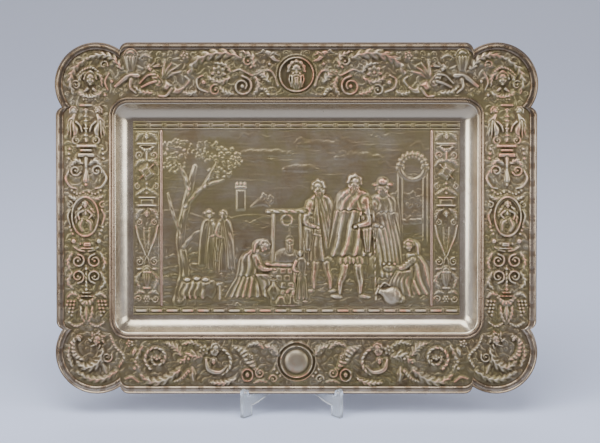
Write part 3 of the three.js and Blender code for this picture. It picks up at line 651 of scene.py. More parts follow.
head(trial, 0, 0, 5)
tell("with a head over them, the trial forms", trial)

# %% [markdown]
# The rim has the grotesque ornament of such trays: winding acanthus, winged beasts, masks, fruit and
# vases. Each half mirrors the other, so only the right half is pressed. A motif that comes back is a
# function, drawn about its own origin. Rolls are a little plumper than drawn, as real chasing is.

# %% The rim's field, beasts and torches
RIM_STEP = 0.4
rim_wax = wax_field(-24, half_w, -half_h, half_h, RIM_STEP)
rim_wax["plump"] = 1.14


def wing(wax, root, tips, half, height=2.2):
    """A fan of feathers from one root, each a tapered roll."""
    for tip in tips:
        middle = ((root[0] + tip[0]) / 2, (root[1] + tip[1]) / 2 + half)
        widths, heights = (half * 0.8, half, half * 0.35), (height, height * 0.9, height * 0.6)
        roll(wax, [root, middle, tip], widths, heights, keep=0.5, moat=0.3)


def griffin(wax):
    """A crouching winged beast, its head to the right and its tail curled up behind it."""
    roll(wax, [(-22, -9), (-14, -14), (-4, -9), (5, -4)], (1.3, 3.6, 5.2, 4.4), (1.6, 2.6, 3.2, 3.0))
    roll(wax, [(-22, -9), (-26, -3), (-22, 1)], (1.2, 1.5, 0.9), 1.6)
    wing(wax, (2, -3), [(-18, 6), (-14, 11), (-8, 15), (-1, 16.5)], 2.0)
    roll(wax, [(5, -5), (9, 1), (12, 6)], (5.0, 4.2, 3.0), (3.2, 3.4, 3.0), flutes=3)
    roll(wax, [(8, -4), (15, -6), (23, -10)], (2.2, 1.8, 1.5), 2.6)
    roll(wax, [(-8, -12), (-2, -19), (5, -19)], (2.4, 1.8, 1.4), 2.4)
    roll(wax, [(9, 3), (17, 2), (25, -6)], (1.8, 1.4, 1.2), 2.6)
    head(wax, 14, 9, 3.4, tilt=-15, height=3.4, facing=0.6)
    for du, dv in ((-5, 3), (0, 6), (-8, -1)):
        roll(wax, [(14 + du * 0.4, 11), (10 + du, 12 + dv * 0.5)], 1.0, 2.4, keep=0.6, moat=0.3)


def bird(wax, side=1):
    """A long-necked bird: a curved neck and body, a feathered wing and a beak."""
    body = [(-side * 7, 6), (-side * 1, 4), (side * 4, -2), (side * 9, -4)]
    roll(wax, body, (1.6, 3.2, 3.0, 1.3), (2.0, 2.8, 2.8, 1.8))
    wing(wax, (0, 2), [(side * 9, 2), (side * 7, 5)], 1.4, 2.6)
    dome(wax, -side * 7.5, 6.5, 2.3, height=2.6)
    roll(wax, [(-side * 8, 6), (-side * 12, 4)], (1.0, 0.4), 1.8)


def torch(wax, low, high, tall):
    """A fluted cup, narrow below and wide above, with beads round its brim."""
    roll(wax, [(0, 0), (0, tall)], (low, high), (2.2, 2.8), flutes=5, flat=4)
    beads(wax, [(-high, tall), (high, tall)], 1.3, 2.6, 2.4)
    plate(wax, 0, -1, low * 3, 2, 2.0)


print("the rim's field has", rim_wax["w"].shape, "points")

# %% [markdown]
# From the middle outwards, the border above has a bird, a scroll with its leaves, a great flower under
# a long leaf, a winged beast that faces the corner, and a torch.

# %% The border above
rim = moved(rim_wax, 0, border_axis)
bird(moved(rim, 27, 17), -1)
dome(rim, 28, 10, 2.3, height=2.2)
roll(rim, [(19, -12), (22, -4), (27, 3), (36, 2)], (1.8, 1.4, 1.4, 2.0), 1.9)
leaf(rim, [(29, -8), (33, -2), (41, 2)], 3.6, 2.4, 3)
volute(rim, 50, 13, 7.2, -1, 250, 1.2, 1.5, 2.2)
leaf(rim, [(44, 8), (46, 18), (57, 23)], 3.0, 2.4, 4)
roll(rim, [(36, 2), (45, -2), (58, 4), (66, 2)], (1.5, 1.3, 1.3, 1.1), 1.8)
leaf(rim, [(58, 17), (73, 21), (92, 19), (105, 12), (111, 1)], 5.0, 3.0, 7)
flower(rim, 80.5, 1, 9.0, 7, 2.8, 10)
leaf(rim, [(70, -5), (80, -9), (91, -4)], 3.4, 2.4, 5)
leaf(rim, [(68, 2), (74, 9), (84, 11)], 2.4, 2.0, 4)
volute(rim, 56, -13, 10.5, 1, 90, 1.35, 1.6, 2.4)
leaf(rim, [(42, -4), (39, -13), (44, -21)], 3.0, 2.2, 4)
roll(rim, [(29, -21), (33, -16), (38, -16)], (2.2, 2.6, 1.2), 2.2, twist=3)
volute(rim, 84, -17, 6.0, -1, 120, 1.1, 1.3, 2.0)
leaf(rim, [(66, -21), (74, -19), (80, -13)], 2.6, 2.0, 4)
dome(rim, 96, -9, 3.2, height=2.4)
roll(rim, [(92, -19), (101, -15), (103, -6), (97, -2)], (1.3, 1.5, 1.3, 0.9), 2.0)
flower(rim, 115.5, 18.5, 5.0, 5, 2.4)
leaf(rim, [(104, -19), (111, -21), (119, -18)], 2.4, 1.9, 4)
griffin(moved(rim, 137, -4))
torch(moved(rim, 171.5, 2), 3.2, 7.5, 17)
roll(rim, [(164, -2), (174, -3), (187, -13)], (3.0, 3.2, 2.2), (2.8, 2.8, 2.2))
roll(rim, [(171, -6), (172, -14), (166, -20)], (2.4, 1.8, 1.2), 2.2)
beads(rim, [(191, -8), (195, -15), (198, -22)], 2.4, 8, 2.2)
leaf(rim, [(150, -20), (160, -19), (167, -14)], 2.6, 2.0, 4)
roll(rim, [(150, 16), (157, 19), (162, 16)], (1.0, 1.4, 0.8), 1.6)
tell("the border above is pressed", rim_wax)

# %% [markdown]
# The border below is of the same family, but not the same: a bird, a ribbed horn, a ring, two heads
# inside a roped scroll, a shell, and a second scroll with pearls.

# %% The border below
rim = moved(rim_wax, 0, -border_axis)
bird(moved(rim, 27, 12), -1)
leaf(rim, [(19, 8), (25, 15), (35, 17)], 3.0, 2.4, 4)
beads(rim, [(17, -14), (23, -7)], 1.7, 3.2, 1.8)
volute(rim, 24, -17, 4.4, 1, 0, 1.1, 1.1, 1.8)
roll(rim, [(43, -7), (48, 1), (55, 11), (66, 17)], (2.0, 5.6, 5.0, 1.4), (2.0, 3.4, 3.2, 1.6), twist=4.4)
flower(rim, 48, 6, 4.0, 5, 3.4)
leaf(rim, [(34, 15), (41, 20), (50, 18)], 2.6, 2.2, 4)
hoop(rim, 51, -13, 5.6, 6.2, 2.4, 2.4)
dome(rim, 51, -13, 3.0, 3.6, 1.8, moat=0.2)
volute(rim, 38, -11, 5.0, -1, 60, 1.2, 1.2, 1.9)
leaf(rim, [(31, -20), (38, -19), (44, -21)], 2.0, 1.6, 3)
volute(rim, 82, -1, 17.5, 1, 65, 0.95, 2.3, 3.0, eye=False, twist=5)
roll(rim, [(72, -4), (80, -10), (91, -7), (94, 3)], (1.2, 2.8, 3.2, 1.6), (1.6, 2.8, 2.8, 2.0))
head(rim, 84.5, 13.5, 5.0, tilt=8, beard=0.5, height=3.4, facing=-0.5)
flower(rim, 96, 13, 6.2, 6, 2.4, 15)
head(rim, 86, 1, 3.4, height=2.8)
leaf(rim, [(64, -17), (74, -21), (88, -21)], 3.0, 2.4, 5)
leaf(rim, [(101, 6), (110, 7), (120, 1)], 5.2, 2.8, 4)
dome(rim, 112, 4, 2.4, height=3.0)
roll(rim, [(107, -18), (108, -12), (108, -5)], (2.0, 4.6, 1.2), (2.0, 2.9, 1.8), flutes=3)
roll(rim, [(112, -9), (120, -17), (131, -21)], (2.6, 2.0, 0.9), (2.4, 2.0, 1.4), twist=3)
leaf(rim, [(120, 8), (126, 16), (134, 20)], 3.8, 2.4, 4)
leaf(rim, [(101, 18), (109, 21), (118, 19)], 2.6, 2.0, 4)
volute(rim, 145, 5, 13.2, 1, 300, 1.25, 2.1, 2.8, twist=5)
beads(rim, [(140, 2), (145, 7), (150, 3)], 1.7, 3.4, 2.6)
leaf(rim, [(122, -8), (134, -17), (149, -20), (161, -14)], 4.2, 2.6, 6)
dome(rim, 168, 11, 3.8, 5.6, 2.4, 15)
flower(rim, 173, 20, 4.6, 5, 2.6)
leaf(rim, [(160, 17), (166, 3), (163, -8)], 2.4, 2.0, 5)
beads(rim, [(167, 1), (168, -6)], 2.2, 7, 2.0)
roll(rim, [(164, -20), (171, -15), (178, -17)], (1.2, 2.0, 0.8), 1.8)
tell("the border below is pressed", rim_wax)

# %% [markdown]
# Each lobe has a head in its middle, with leaves that follow the round edge. A wreath hangs under the
# upper one, and the lower one has rays of hair and a roped tail.

# %% The lobes at the corners
rim = moved(rim_wax, lobe_u, lobe_v)
head(rim, 6, 4, 6.6, height=3.6)
for side in (-1, 1):
    roll(rim, [(6 + side * 3, -5), (6 + side * 8, -9), (6 + side * 12, -8)], (2.0, 1.8, 1.0), 2.4)
    leaf(rim, [(6 + side * 6, 12), (6 + side * 11, 7), (6 + side * 12, -2)], 2.4, 2.2, 4)
roll(rim, [(-2, 13), (5, 17), (14, 14), (20, 8)], (1.6, 1.8, 1.6, 1.2), 2.2, twist=3)
leaf(rim, [(-26, 16), (-17, 27), (-4, 30), (11, 26)], 3.4, 2.6, 7)
leaf(rim, [(13, 24), (23, 15), (27, 2), (24, -9)], 3.4, 2.4, 6)
volute(rim, 21, -1, 4.6, 1, 40, 1.1, 1.1, 2.0)
volute(rim, -8, 20, 4.2, -1, 200, 1.1, 1.1, 2.0)
leaf(rim, [(-4, -10), (6, -14), (17, -10)], 3.6, 2.6, 6)
roll(rim, [(-13, 11), (-9, 2), (-12, -6)], (1.2, 1.6, 1.0), 1.9)
beads(rim, [(1, -16), (13, -16)], 1.5, 3.0, 1.8)

rim = moved(rim_wax, lobe_u, -lobe_v)
head(rim, 0, 12, 5.8, tilt=12, height=3.4)
for turn in range(-60, 241, 50):
    a = radians(turn)
    root = (6 * cos(a), 13 + 6.5 * sin(a))
    tip = (9 * cos(a + 0.3), 13 + 9.5 * sin(a + 0.3))
    roll(rim, [root, tip], (1.4, 0.7), 2.2, keep=0.6)
tail = [(18, 18), (25, 10), (24, -1), (15, -8)]
roll(rim, tail, (1.6, 3.6, 4.0, 2.0), (2.0, 3.2, 3.2, 2.2), twist=4)
head(rim, 18, 14, 3.2, tilt=-30, height=3.2, facing=0.5)
leaf(rim, [(-6, 1), (-2, -10), (10, -16), (20, -11)], 4.4, 2.8, 6)
leaf(rim, [(-20, -20), (-8, -27), (6, -28), (20, -21)], 3.2, 2.2, 7)
leaf(rim, [(26, -14), (29, -3), (28, 8)], 2.4, 2.0, 5)
volute(rim, -10.5, -5, 5.4, 1, 150, 1.2, 1.3, 2.3)
roll(rim, [(-10, -22), (-8, -17), (-6, -12)], (1.2, 2.8, 1.0), 2.2, flutes=3)
roll(rim, [(-14, 17), (-19, 6), (-28, -4), (-23, -15)], (1.2, 1.6, 1.9, 1.2), 2.0, twist=3.4)
print("the lobes are pressed about u", lobe_u, "and v", lobe_v)

# %% [markdown]
# The sides are candelabra on one axis: two winged figures, a vase, a baluster between scrolls, the
# oval frame, double scrolls, grapes and an urn. What comes in pairs is pressed in a loop.

# %% The sides
rim = moved(rim_wax, side_axis, 0)
plate(rim, 0, 117, 15, 2.6, 2.0)
dome(rim, 0, 112, 3, 2.4, 2.4)
roll(rim, [(0, 111), (0, 80)], (1.3, 1.7), 2.2, twist=5)
for v in (105.6, 100.9, 93, 86):
    plate(rim, 0, v, 5.4, 1.8, 2.6)
for side in (-1, 1):
    head(rim, side * 12.5, 110, 4.2, tilt=side * -20, height=3.2, facing=-side * 0.5)
    body = [(side * 12, 107), (side * 15, 99), (side * 11, 91), (side * 12, 84)]
    roll(rim, body, (2.0, 4.6, 4.2, 1.6), (2.4, 3.2, 3.0, 2.0))
    wing(rim, (side * 15, 101), [(side * 20, 92), (side * 19, 86), (side * 16, 83)], 1.5, 2.8)
    roll(rim, [(side * 10, 100), (side * 6, 96), (side * 4, 90)], (1.7, 1.4, 1.0), 2.6)
    volute(rim, side * 10, 80.5, 4.4, -side, 90, 1.1, 1.1, 2.0)
    beads(rim, [(side * 17, 72), (side * 18, 62)], 1.9, 3.6, 2.0)
    leaf(rim, [(side * 4, 57), (side * 10, 60), (side * 16, 54)], 2.6, 2.2, 4)
    volute(rim, side * 11, 49.5, 5.6, side, 200, 1.15, 1.2, 2.2)
    stem = [(side * 18, 49), (side * 21, 41), (side * 16, 33), (side * 10, 31)]
    roll(rim, stem, (1.1, 1.6, 1.6, 1.0), 2.0)
    beads(rim, [(side * 3, 27), (side * 9, 25), (side * 15, 29)], 1.5, 3.0, 1.8)
    leaf(rim, [(side * 3, 23), (side * 10, 20), (side * 17, 23)], 2.6, 2.2, 4)
    volute(rim, side * 17, 14, 3.6, side, 100, 1.0, 1.0, 1.8)
    roll(rim, [(side * 16, 9), (side * 19, 2), (side * 16, -8)], (1.0, 1.5, 1.0), 1.7)
    beads(rim, [(side * 17, -9), (side * 14, -16)], 1.7, 3.2, 1.9)
    dome(rim, side * 13, -23.5, 3.4, height=2.6)
    volute(rim, side * 8.6, -44, 7.0, side, 90, 1.25, 1.4, 2.4)
    volute(rim, side * 8.6, -60, 7.0, -side, 270, 1.25, 1.4, 2.4)
    leaf(rim, [(side * 15, -36), (side * 19, -45), (side * 17, -54)], 2.2, 2.0, 4)
    leaf(rim, [(side * 15, -56), (side * 19, -66), (side * 14, -73)], 2.2, 2.0, 4)
    roll(rim, [(side * 2, -34), (side * 7, -33), (side * 12, -30)], (1.0, 1.4, 1.0), 1.8)
    for row, count in enumerate((3, 3, 2, 2, 1)):
        for k in range(count):
            grape_u, grape_v = side * (12.5 + k * 3.4 + row * 0.7), -86 - row * 3.6
            dome(rim, grape_u, grape_v, 1.9, height=2.4, keep=0.3, moat=0.3)
    leaf(rim, [(side * 9, -80), (side * 15, -78), (side * 20, -82)], 2.2, 2.0, 4)
    roll(rim, [(side * 4, -109), (side * 11, -112), (side * 18, -108)], (1.1, 1.8, 1.1), 2.0, twist=3)
plate(rim, -0.5, 75, 24, 3.4, 2.6)
plate(rim, 0, 70.5, 14, 3.0, 2.2)
plate(rim, 0, 65.5, 20, 4.4, 2.8)
roll(rim, [(0, 62), (0, 51)], (2.4, 1.3), 2.4)
roll(rim, [(0, 51), (0, 44), (0, 38), (0, 34)], (1.3, 2.8, 3.8, 1.6), (2.2, 2.8, 3.2, 2.2), flutes=3)
dome(rim, 0, 35, 2.2, height=2.8)
flower(rim, 0, 23, 3.4, 5, 2.6)
hoop(rim, 1, 2, 13.6, 20.2, 2.6, 2.6)
hoop(rim, 1, 2, 11.4, 17.6, 1.2, 1.4)
beads(rim, [(-6, -26.5), (6, -26.5)], 1.6, 3.0, 2.2)
plate(rim, -1, -27, 9, 5, 2.6)
plate(rim, -1, -31, 16, 2.2, 2.2)
roll(rim, [(0, -50), (0, -72)], (1.2, 1.6), 2.4, twist=4)
dome(rim, 0, -52, 2.4, height=2.8)
dome(rim, 0, -73.6, 2.4, height=2.6)
plate(rim, 0, -77, 10, 2.0, 2.2)
roll(rim, [(-9, -82), (0, -88.5), (9, -82)], (1.4, 4.4, 1.4), (2.0, 3.2, 2.0), twist=3.6)
plate(rim, 0, -80.5, 19, 1.8, 2.6)
roll(rim, [(0, -91), (0, -98), (0, -108)], (1.4, 4.0, 1.0), (2.2, 2.8, 1.8), flutes=3)
leaf(rim, [(-6, -92), (-5, -101), (-1, -109)], 2.0, 2.0, 4)
leaf(rim, [(6, -92), (5, -101), (1, -109)], 2.0, 2.0, 4)
tell("the sides are pressed", rim_wax)

# %% [markdown]
# The oval frames hold a seated figure with its robe over its knees. The medallion above holds a head
# with a full beard, and the disc below is a plain boss in a ring.

# %% Oval, medallion and boss
rim = moved(rim_wax, side_axis + 1, 2)
leaf(rim, [(3, 11), (8, 4), (9, -4), (6, -12)], 2.4, 2.2, 5)
leaf(rim, [(-3, 11), (-8, 5), (-9, -2)], 2.2, 2.2, 4)
roll(rim, [(-1, 7), (0, 0), (1, -5)], (3.6, 4.4, 4.0), (3.0, 3.2, 3.0), keep=0.3, flutes=3)
roll(rim, [(1, -3), (-5, -6), (-6, -14)], (4.0, 3.6, 2.4), (3.2, 3.0, 2.4), flutes=3)
roll(rim, [(3, -4), (5, -10), (3, -15)], (3.4, 3.0, 2.2), (3.0, 2.8, 2.2), flutes=3)
roll(rim, [(2, 6), (7, 3), (6, -3)], (1.7, 1.5, 1.2), 3.0)
roll(rim, [(-3, 6), (-7, 2), (-4, -2)], (1.7, 1.5, 1.2), 3.0)
head(rim, 0, 11.5, 3.3, height=3.4)
rim = moved(rim_wax, 0, border_axis - 1)
hoop(rim, 0, 0, 17.4, 17.4, 2.8, 2.8)
hoop(rim, 0, 0, 20.4, 20.4, 1.6, 1.4)
head(rim, 0, 2, 8.8, beard=1.0, locks=9, height=4.2, spread=0.74)
rim = moved(rim_wax, 0, -border_axis + 1)
hoop(rim, 0, 0, 16.2, 16.2, 2.4, 2.6)
hoop(rim, 0, 0, 20.0, 20.0, 1.6, 1.6)
dome(rim, 0, 0, 15.6, height=1.1, flat=12, keep=1, cut=1)
dome(rim, 0, 0, 13.6, height=3.0, flat=3.2, keep=0, cut=1)
tell("the motifs rise", rim_wax)

# %% [markdown]
# What is still bare is filled with small leaves, except in the discs and at the edges. The map is then
# raised, because the real relief is deeper than a drawing of it, grained and smoothed.

# %% Small leaves, grain and smoothing
gu, gv = np.meshgrid(np.abs(rim_wax["u"]), np.abs(rim_wax["v"]))
in_lobe = np.hypot(gu - lobe_u, gv - lobe_v) < LOBE_RADIUS - 11
off_corner = (gu < half_w - NOTCH - 6) | (gv < half_h - NOTCH - 6)
in_sides = (gu < half_w - 12) & (gv < half_h - 11) & off_corner
off_well = (gu > well_edge_u + 2) | (gv > well_edge_v + 2)
off_discs = np.hypot(gu, gv - border_axis + 1) > 21
rim_wax["w"] *= 1.2
rim_wax["plump"] = 1.0
small_leaves = fill_bare(rim_wax, (in_lobe | in_sides) & off_well & off_discs, (2.8, 5.0), 1.15, 7, 900)
bare_share = np.clip(1 - rim_wax["w"] / 0.8, 0, 1)
off_medallion = np.hypot(gu, gv - border_axis + 1) > 16
rim_wax["w"] += 0.13 * grain(rim_wax, 0.55, 0.55, 3) * bare_share * off_medallion
rim_wax["w"] = blurred(rim_wax["w"], 0.34, RIM_STEP)
print("small leaves on bare ground", small_leaves)
tell("rim relief", rim_wax)

# %% [markdown]
# Wear and tarnish follow the relief: what stands above its surroundings is rubbed bright, and what
# lies below them keeps its dirt. The boss is rubbed all over, and the rim's sides are dirtier.

# %% Wear and dirt from the relief
def with_wear(wax):
    """Worn: the height above a copy smoothed over 1.5 mm, and a little for height itself. Dirt: the
    depth below a copy smoothed over 2.2 mm."""
    w, step = wax["w"], wax["step"]
    wax["worn"] = np.clip((w - blurred(w, 1.5, step)) / 0.85 + 0.14 * w - 0.2, 0, 1)
    wax["dirt"] = np.clip((blurred(w, 2.2, step) - w) / 1.5 + 0.18, 0, 1)
    return wax


def sampled(values, wax, u, v):
    """Values of a map between its points: the four around each place, weighted by nearness."""
    c = np.clip((u - wax["u"][0]) / wax["step"], 0, len(wax["u"]) - 1.001)
    r = np.clip((v - wax["v"][0]) / wax["step"], 0, len(wax["v"]) - 1.001)
    ci, ri = c.astype(int), r.astype(int)
    fc, fr = c - ci, r - ri
    low = values[ri, ci] * (1 - fc) + values[ri, ci + 1] * fc
    high = values[ri + 1, ci] * (1 - fc) + values[ri + 1, ci + 1] * fc
    return low * (1 - fr) + high * fr


with_wear(rim_wax)
boss_face = np.exp(-((np.hypot(gu, rim_wax["v"][:, None] + border_axis - 1) / 12.5) ** 8))
rim_wax["worn"] = np.maximum(rim_wax["worn"], 0.74 * boss_face)
rim_wax["dirt"] = np.clip(rim_wax["dirt"] + 0.09 * (gu > well_edge_u + 2), 0, 1)
print("worn share of the rim", round(float((rim_wax["worn"] > 0.5).mean()), 3))

# %% [markdown]
# A relief slab is a grid of points lifted by the wax, with walls down to a flat floor. Four slabs for
# the rim, edge to edge on the plain sheet, keep each mesh light, and each is a closed solid.

# %% Relief slabs
SHARP_ANGLE = radians(80)


def relief_slab(name, u, v, wax, ground, thickness=0.14, mirror=False):
    """A grid lifted by the wax. The perimeter drops to a floor, which is one flat face."""
    wax_u = np.abs(u) if mirror else u
    w = ground + sampled(wax["w"], wax, wax_u, v)
    rows, columns = u.shape
    index = np.arange(rows * columns).reshape(rows, columns)
    rim = np.concatenate([index[0, :-1], index[:-1, -1], index[-1, :0:-1], index[:0:-1, 0]])
    top = onto_stand(u, v, w).reshape(-1, 3)
    floor = onto_stand(u.ravel()[rim], v.ravel()[rim], ground - thickness)
    foot = rows * columns + np.arange(len(rim))
    walls = np.stack([rim, foot, np.roll(foot, -1), np.roll(rim, -1)], axis=-1)
    faces = quads(rows, columns)
    if (u[0, 1] - u[0, 0]) * (v[1, 0] - v[0, 0]) < (v[0, 1] - v[0, 0]) * (u[1, 0] - u[0, 0]):
        faces, walls, foot = faces[:, ::-1], walls[:, ::-1], foot[::-1]
    smooth = np.concatenate([np.ones(len(faces), bool), np.zeros(len(walls) + 1, bool)])
    points = np.concatenate([top, floor])
    made = object_from(name, points, faces.tolist() + walls.tolist() + [foot[::-1].tolist()], smooth)
    made.data.set_sharp_from_angle(angle=SHARP_ANGLE)
    for key in ("worn", "dirt"):
        values = np.zeros(len(points), np.float32)
        values[: rows * columns] = sampled(wax[key], wax, wax_u, v).ravel()
        made.data.attributes.new(key, "FLOAT", "POINT").data.foreach_set("value", values)
    print(name, len(faces) * 2, "triangles")
    return made


print("edges sharper than", round(degrees(SHARP_ANGLE)), "degrees stay sharp on a slab")

# %% [markdown]
# A rim slab's grid runs from the well's loop to the outline's and is tucked a little under the
# moulding and the edge. Each slab ends in the middle of a lobe.

# %% The rim's four slabs
RIM_CELL = 0.62
TUCK = 1.6
STRETCH_LENGTHS = (106, 8, 108, 8, 172)
RIM_ACROSS = 52


def count_for(length, cell):
    """How many points a stretch needs for cells of about a given size."""
    return max(2, int(round(length / cell)) + 1)


def rim_quarter(cell):
    """Matched inner and outer stretches of the rim field, tucked a little under moulding and band."""
    counts = [count_for(length, cell) for length in STRETCH_LENGTHS]
    inner = rounded_quarter(well_edge_u - TUCK, well_edge_v - TUCK, WELL_CORNER + MOULDING - TUCK, counts)
    return inner, scallop_quarter(BAND - TUCK, counts)


def rim_grid(inner, outer, cell):
    """Rows of points from the inner stretches to the outer ones, at even shares."""
    across = np.linspace(0, 1, count_for(RIM_ACROSS, cell))[:, None, None]
    grid = inner[None] * (1 - across) + outer[None] * across
    return grid[..., 0], grid[..., 1]


inner_parts, outer_parts = rim_quarter(RIM_CELL)
middle = len(inner_parts[2]) // 2


def side_run(parts):
    """Half a side and half a lobe, with its mirror image below: bottom to top."""
    half = np.concatenate([parts[0], parts[1][1:], parts[2][1 : middle + 1]])
    return np.concatenate([half[:0:-1] * [1, -1], half])


def top_run(parts):
    """The other half of the lobe and half of the top, with its mirror image: right to left."""
    half = np.concatenate([parts[2][middle:], parts[3][1:], parts[4][1:]])
    return np.concatenate([half, half[-2::-1] * [-1, 1]])


relief_pieces = []
side_u, side_v = rim_grid(side_run(inner_parts), side_run(outer_parts), RIM_CELL)
top_u, top_v = rim_grid(top_run(inner_parts), top_run(outer_parts), RIM_CELL)
for name, u, v in (
    ("rim_relief_right", side_u, side_v),
    ("rim_relief_left", -side_u, side_v),
    ("rim_relief_top", top_u, top_v),
    ("rim_relief_bottom", top_u, -top_v),
):
    relief_pieces.append(relief_slab(name, u, v, rim_wax, 0.0, mirror=True))

# %% [markdown]
# The picture panel shows elders at a draw-well, a girl with a jar, a child with a dog, and others.
# Clothed figures are mostly drapery. Real folds are narrow crests with wide hollows between them, so
# the cloth tool presses a rounded body and cuts hollows into it.

# %% Cloth, sleeves and hands
def cloth(wax, first, second, height, count, depth=0.5, sway=0.5, seed=0, hem=1.2, keep=0.25, slant=0.0):
    """Cloth hanging between two edges, both given from the top down. Across it the body is rounded and
    has a few narrow crests with wide hollows between. Each crest begins at its own height, and the
    hem rises and falls with the crests. Slant is how many crests a fold crosses on its way down."""
    first, second = curve(first), curve(second)
    lo = np.minimum(first.min(axis=0), second.min(axis=0)) - 2 - hem
    hi = np.maximum(first.max(axis=0), second.max(axis=0)) + 2
    place, u, v = near(wax, lo[0], hi[0], lo[1], hi[1])
    a = np.interp(v, first[::-1, 1], first[::-1, 0])
    b = np.interp(v, second[::-1, 1], second[::-1, 0])
    top, bottom = max(first[0, 1], second[0, 1]), min(first[-1, 1], second[-1, 1])
    down = (top - v) / (top - bottom)
    across = (u - a) / np.where(np.abs(b - a) < 0.2, 0.2, b - a)
    chance = np.random.default_rng(seed)
    strength, begins = chance.uniform(0.65, 1, count + 4), chance.uniform(-0.25, 0.25, count + 4)
    warp = sway * (0.34 * np.sin(2.3 * down + seed) + 0.14 * np.sin(6.1 * down + 2.0 * seed)) + slant * down
    s = count * (across + 0.1 * np.sin(4.3 * across + 1.7 * seed)) + warp
    number = np.clip(np.floor(s).astype(int) + 1, 0, count + 3)
    crest = 0.5 - 0.5 * np.cos(2 * pi * s)
    grows = np.clip((down - begins[number]) / 0.25, 0, 1) * strength[number]
    body = height * (0.3 + 0.7 * np.clip(1 - (2 * across - 1) ** 2, 0, 1) ** 0.42)
    rise = body - depth * (0.85 - 0.3 * crest - 0.7 * crest**4) * grows * 1.9
    wave = hem * (crest - 0.5) * 2 / max(top - bottom, 1)
    q = np.maximum(np.abs(2 * across - 1), np.where(down > 0.5, 1 + (down - 1 - wave) * 6, 0))
    q = np.where((down < 0) | (down > 1.3), 1 + np.abs(down - 0.5) * 2, q)
    rise = rise * (1 - np.minimum(q, 1) ** 7)
    press(wax, place, q, rise, keep=keep, moat=0.12)


def draped(wax, at, left, right, height, *how, **more):
    """Cloth between two edges that are given in a figure's own units."""
    cloth(wax, [at(*p) for p in left], [at(*p) for p in right], height, *how, **more)


def arm(wax, shoulder, elbow, hand, half, height):
    """A sleeved arm through three points, with three creases over the sleeve, and a hand."""
    halves, heights = (half * 1.5, half * 1.35, half * 0.6), (height * 0.95, height * 1.05, height * 0.95)
    roll(wax, [shoulder, elbow, hand], halves, heights, keep=0.6, cut=0.75, moat=0.25)
    for share in (0.2, 0.45, 0.7):
        u, v = np.array(shoulder) * (1 - share) + np.array(elbow) * share
        crease = [(u - half, v + half * 0.5), (u + half, v - half * 0.4)]
        roll(wax, crease, half * 0.2, height * 1.04, keep=0.95, cut=0.93)
    dome(wax, *hand, half * 0.8, half * 0.6, height * 0.95, keep=0.4, cut=0.88, moat=0.3)


cloth(trial, [(-6, 8), (-7, -8)], [(6, 8), (7, -8)], 4.0, 4)
tell("with cloth over them, the trial forms", trial)

# %% [markdown]
# An elder wears a robe, a tunic over it and a cape over both, pressed in turn, so that each leaves
# only the edges of the one below. A cape hangs open or is wrapped round with slanting folds.

# %% Standing elders
HEAD_SHARE = 0.054


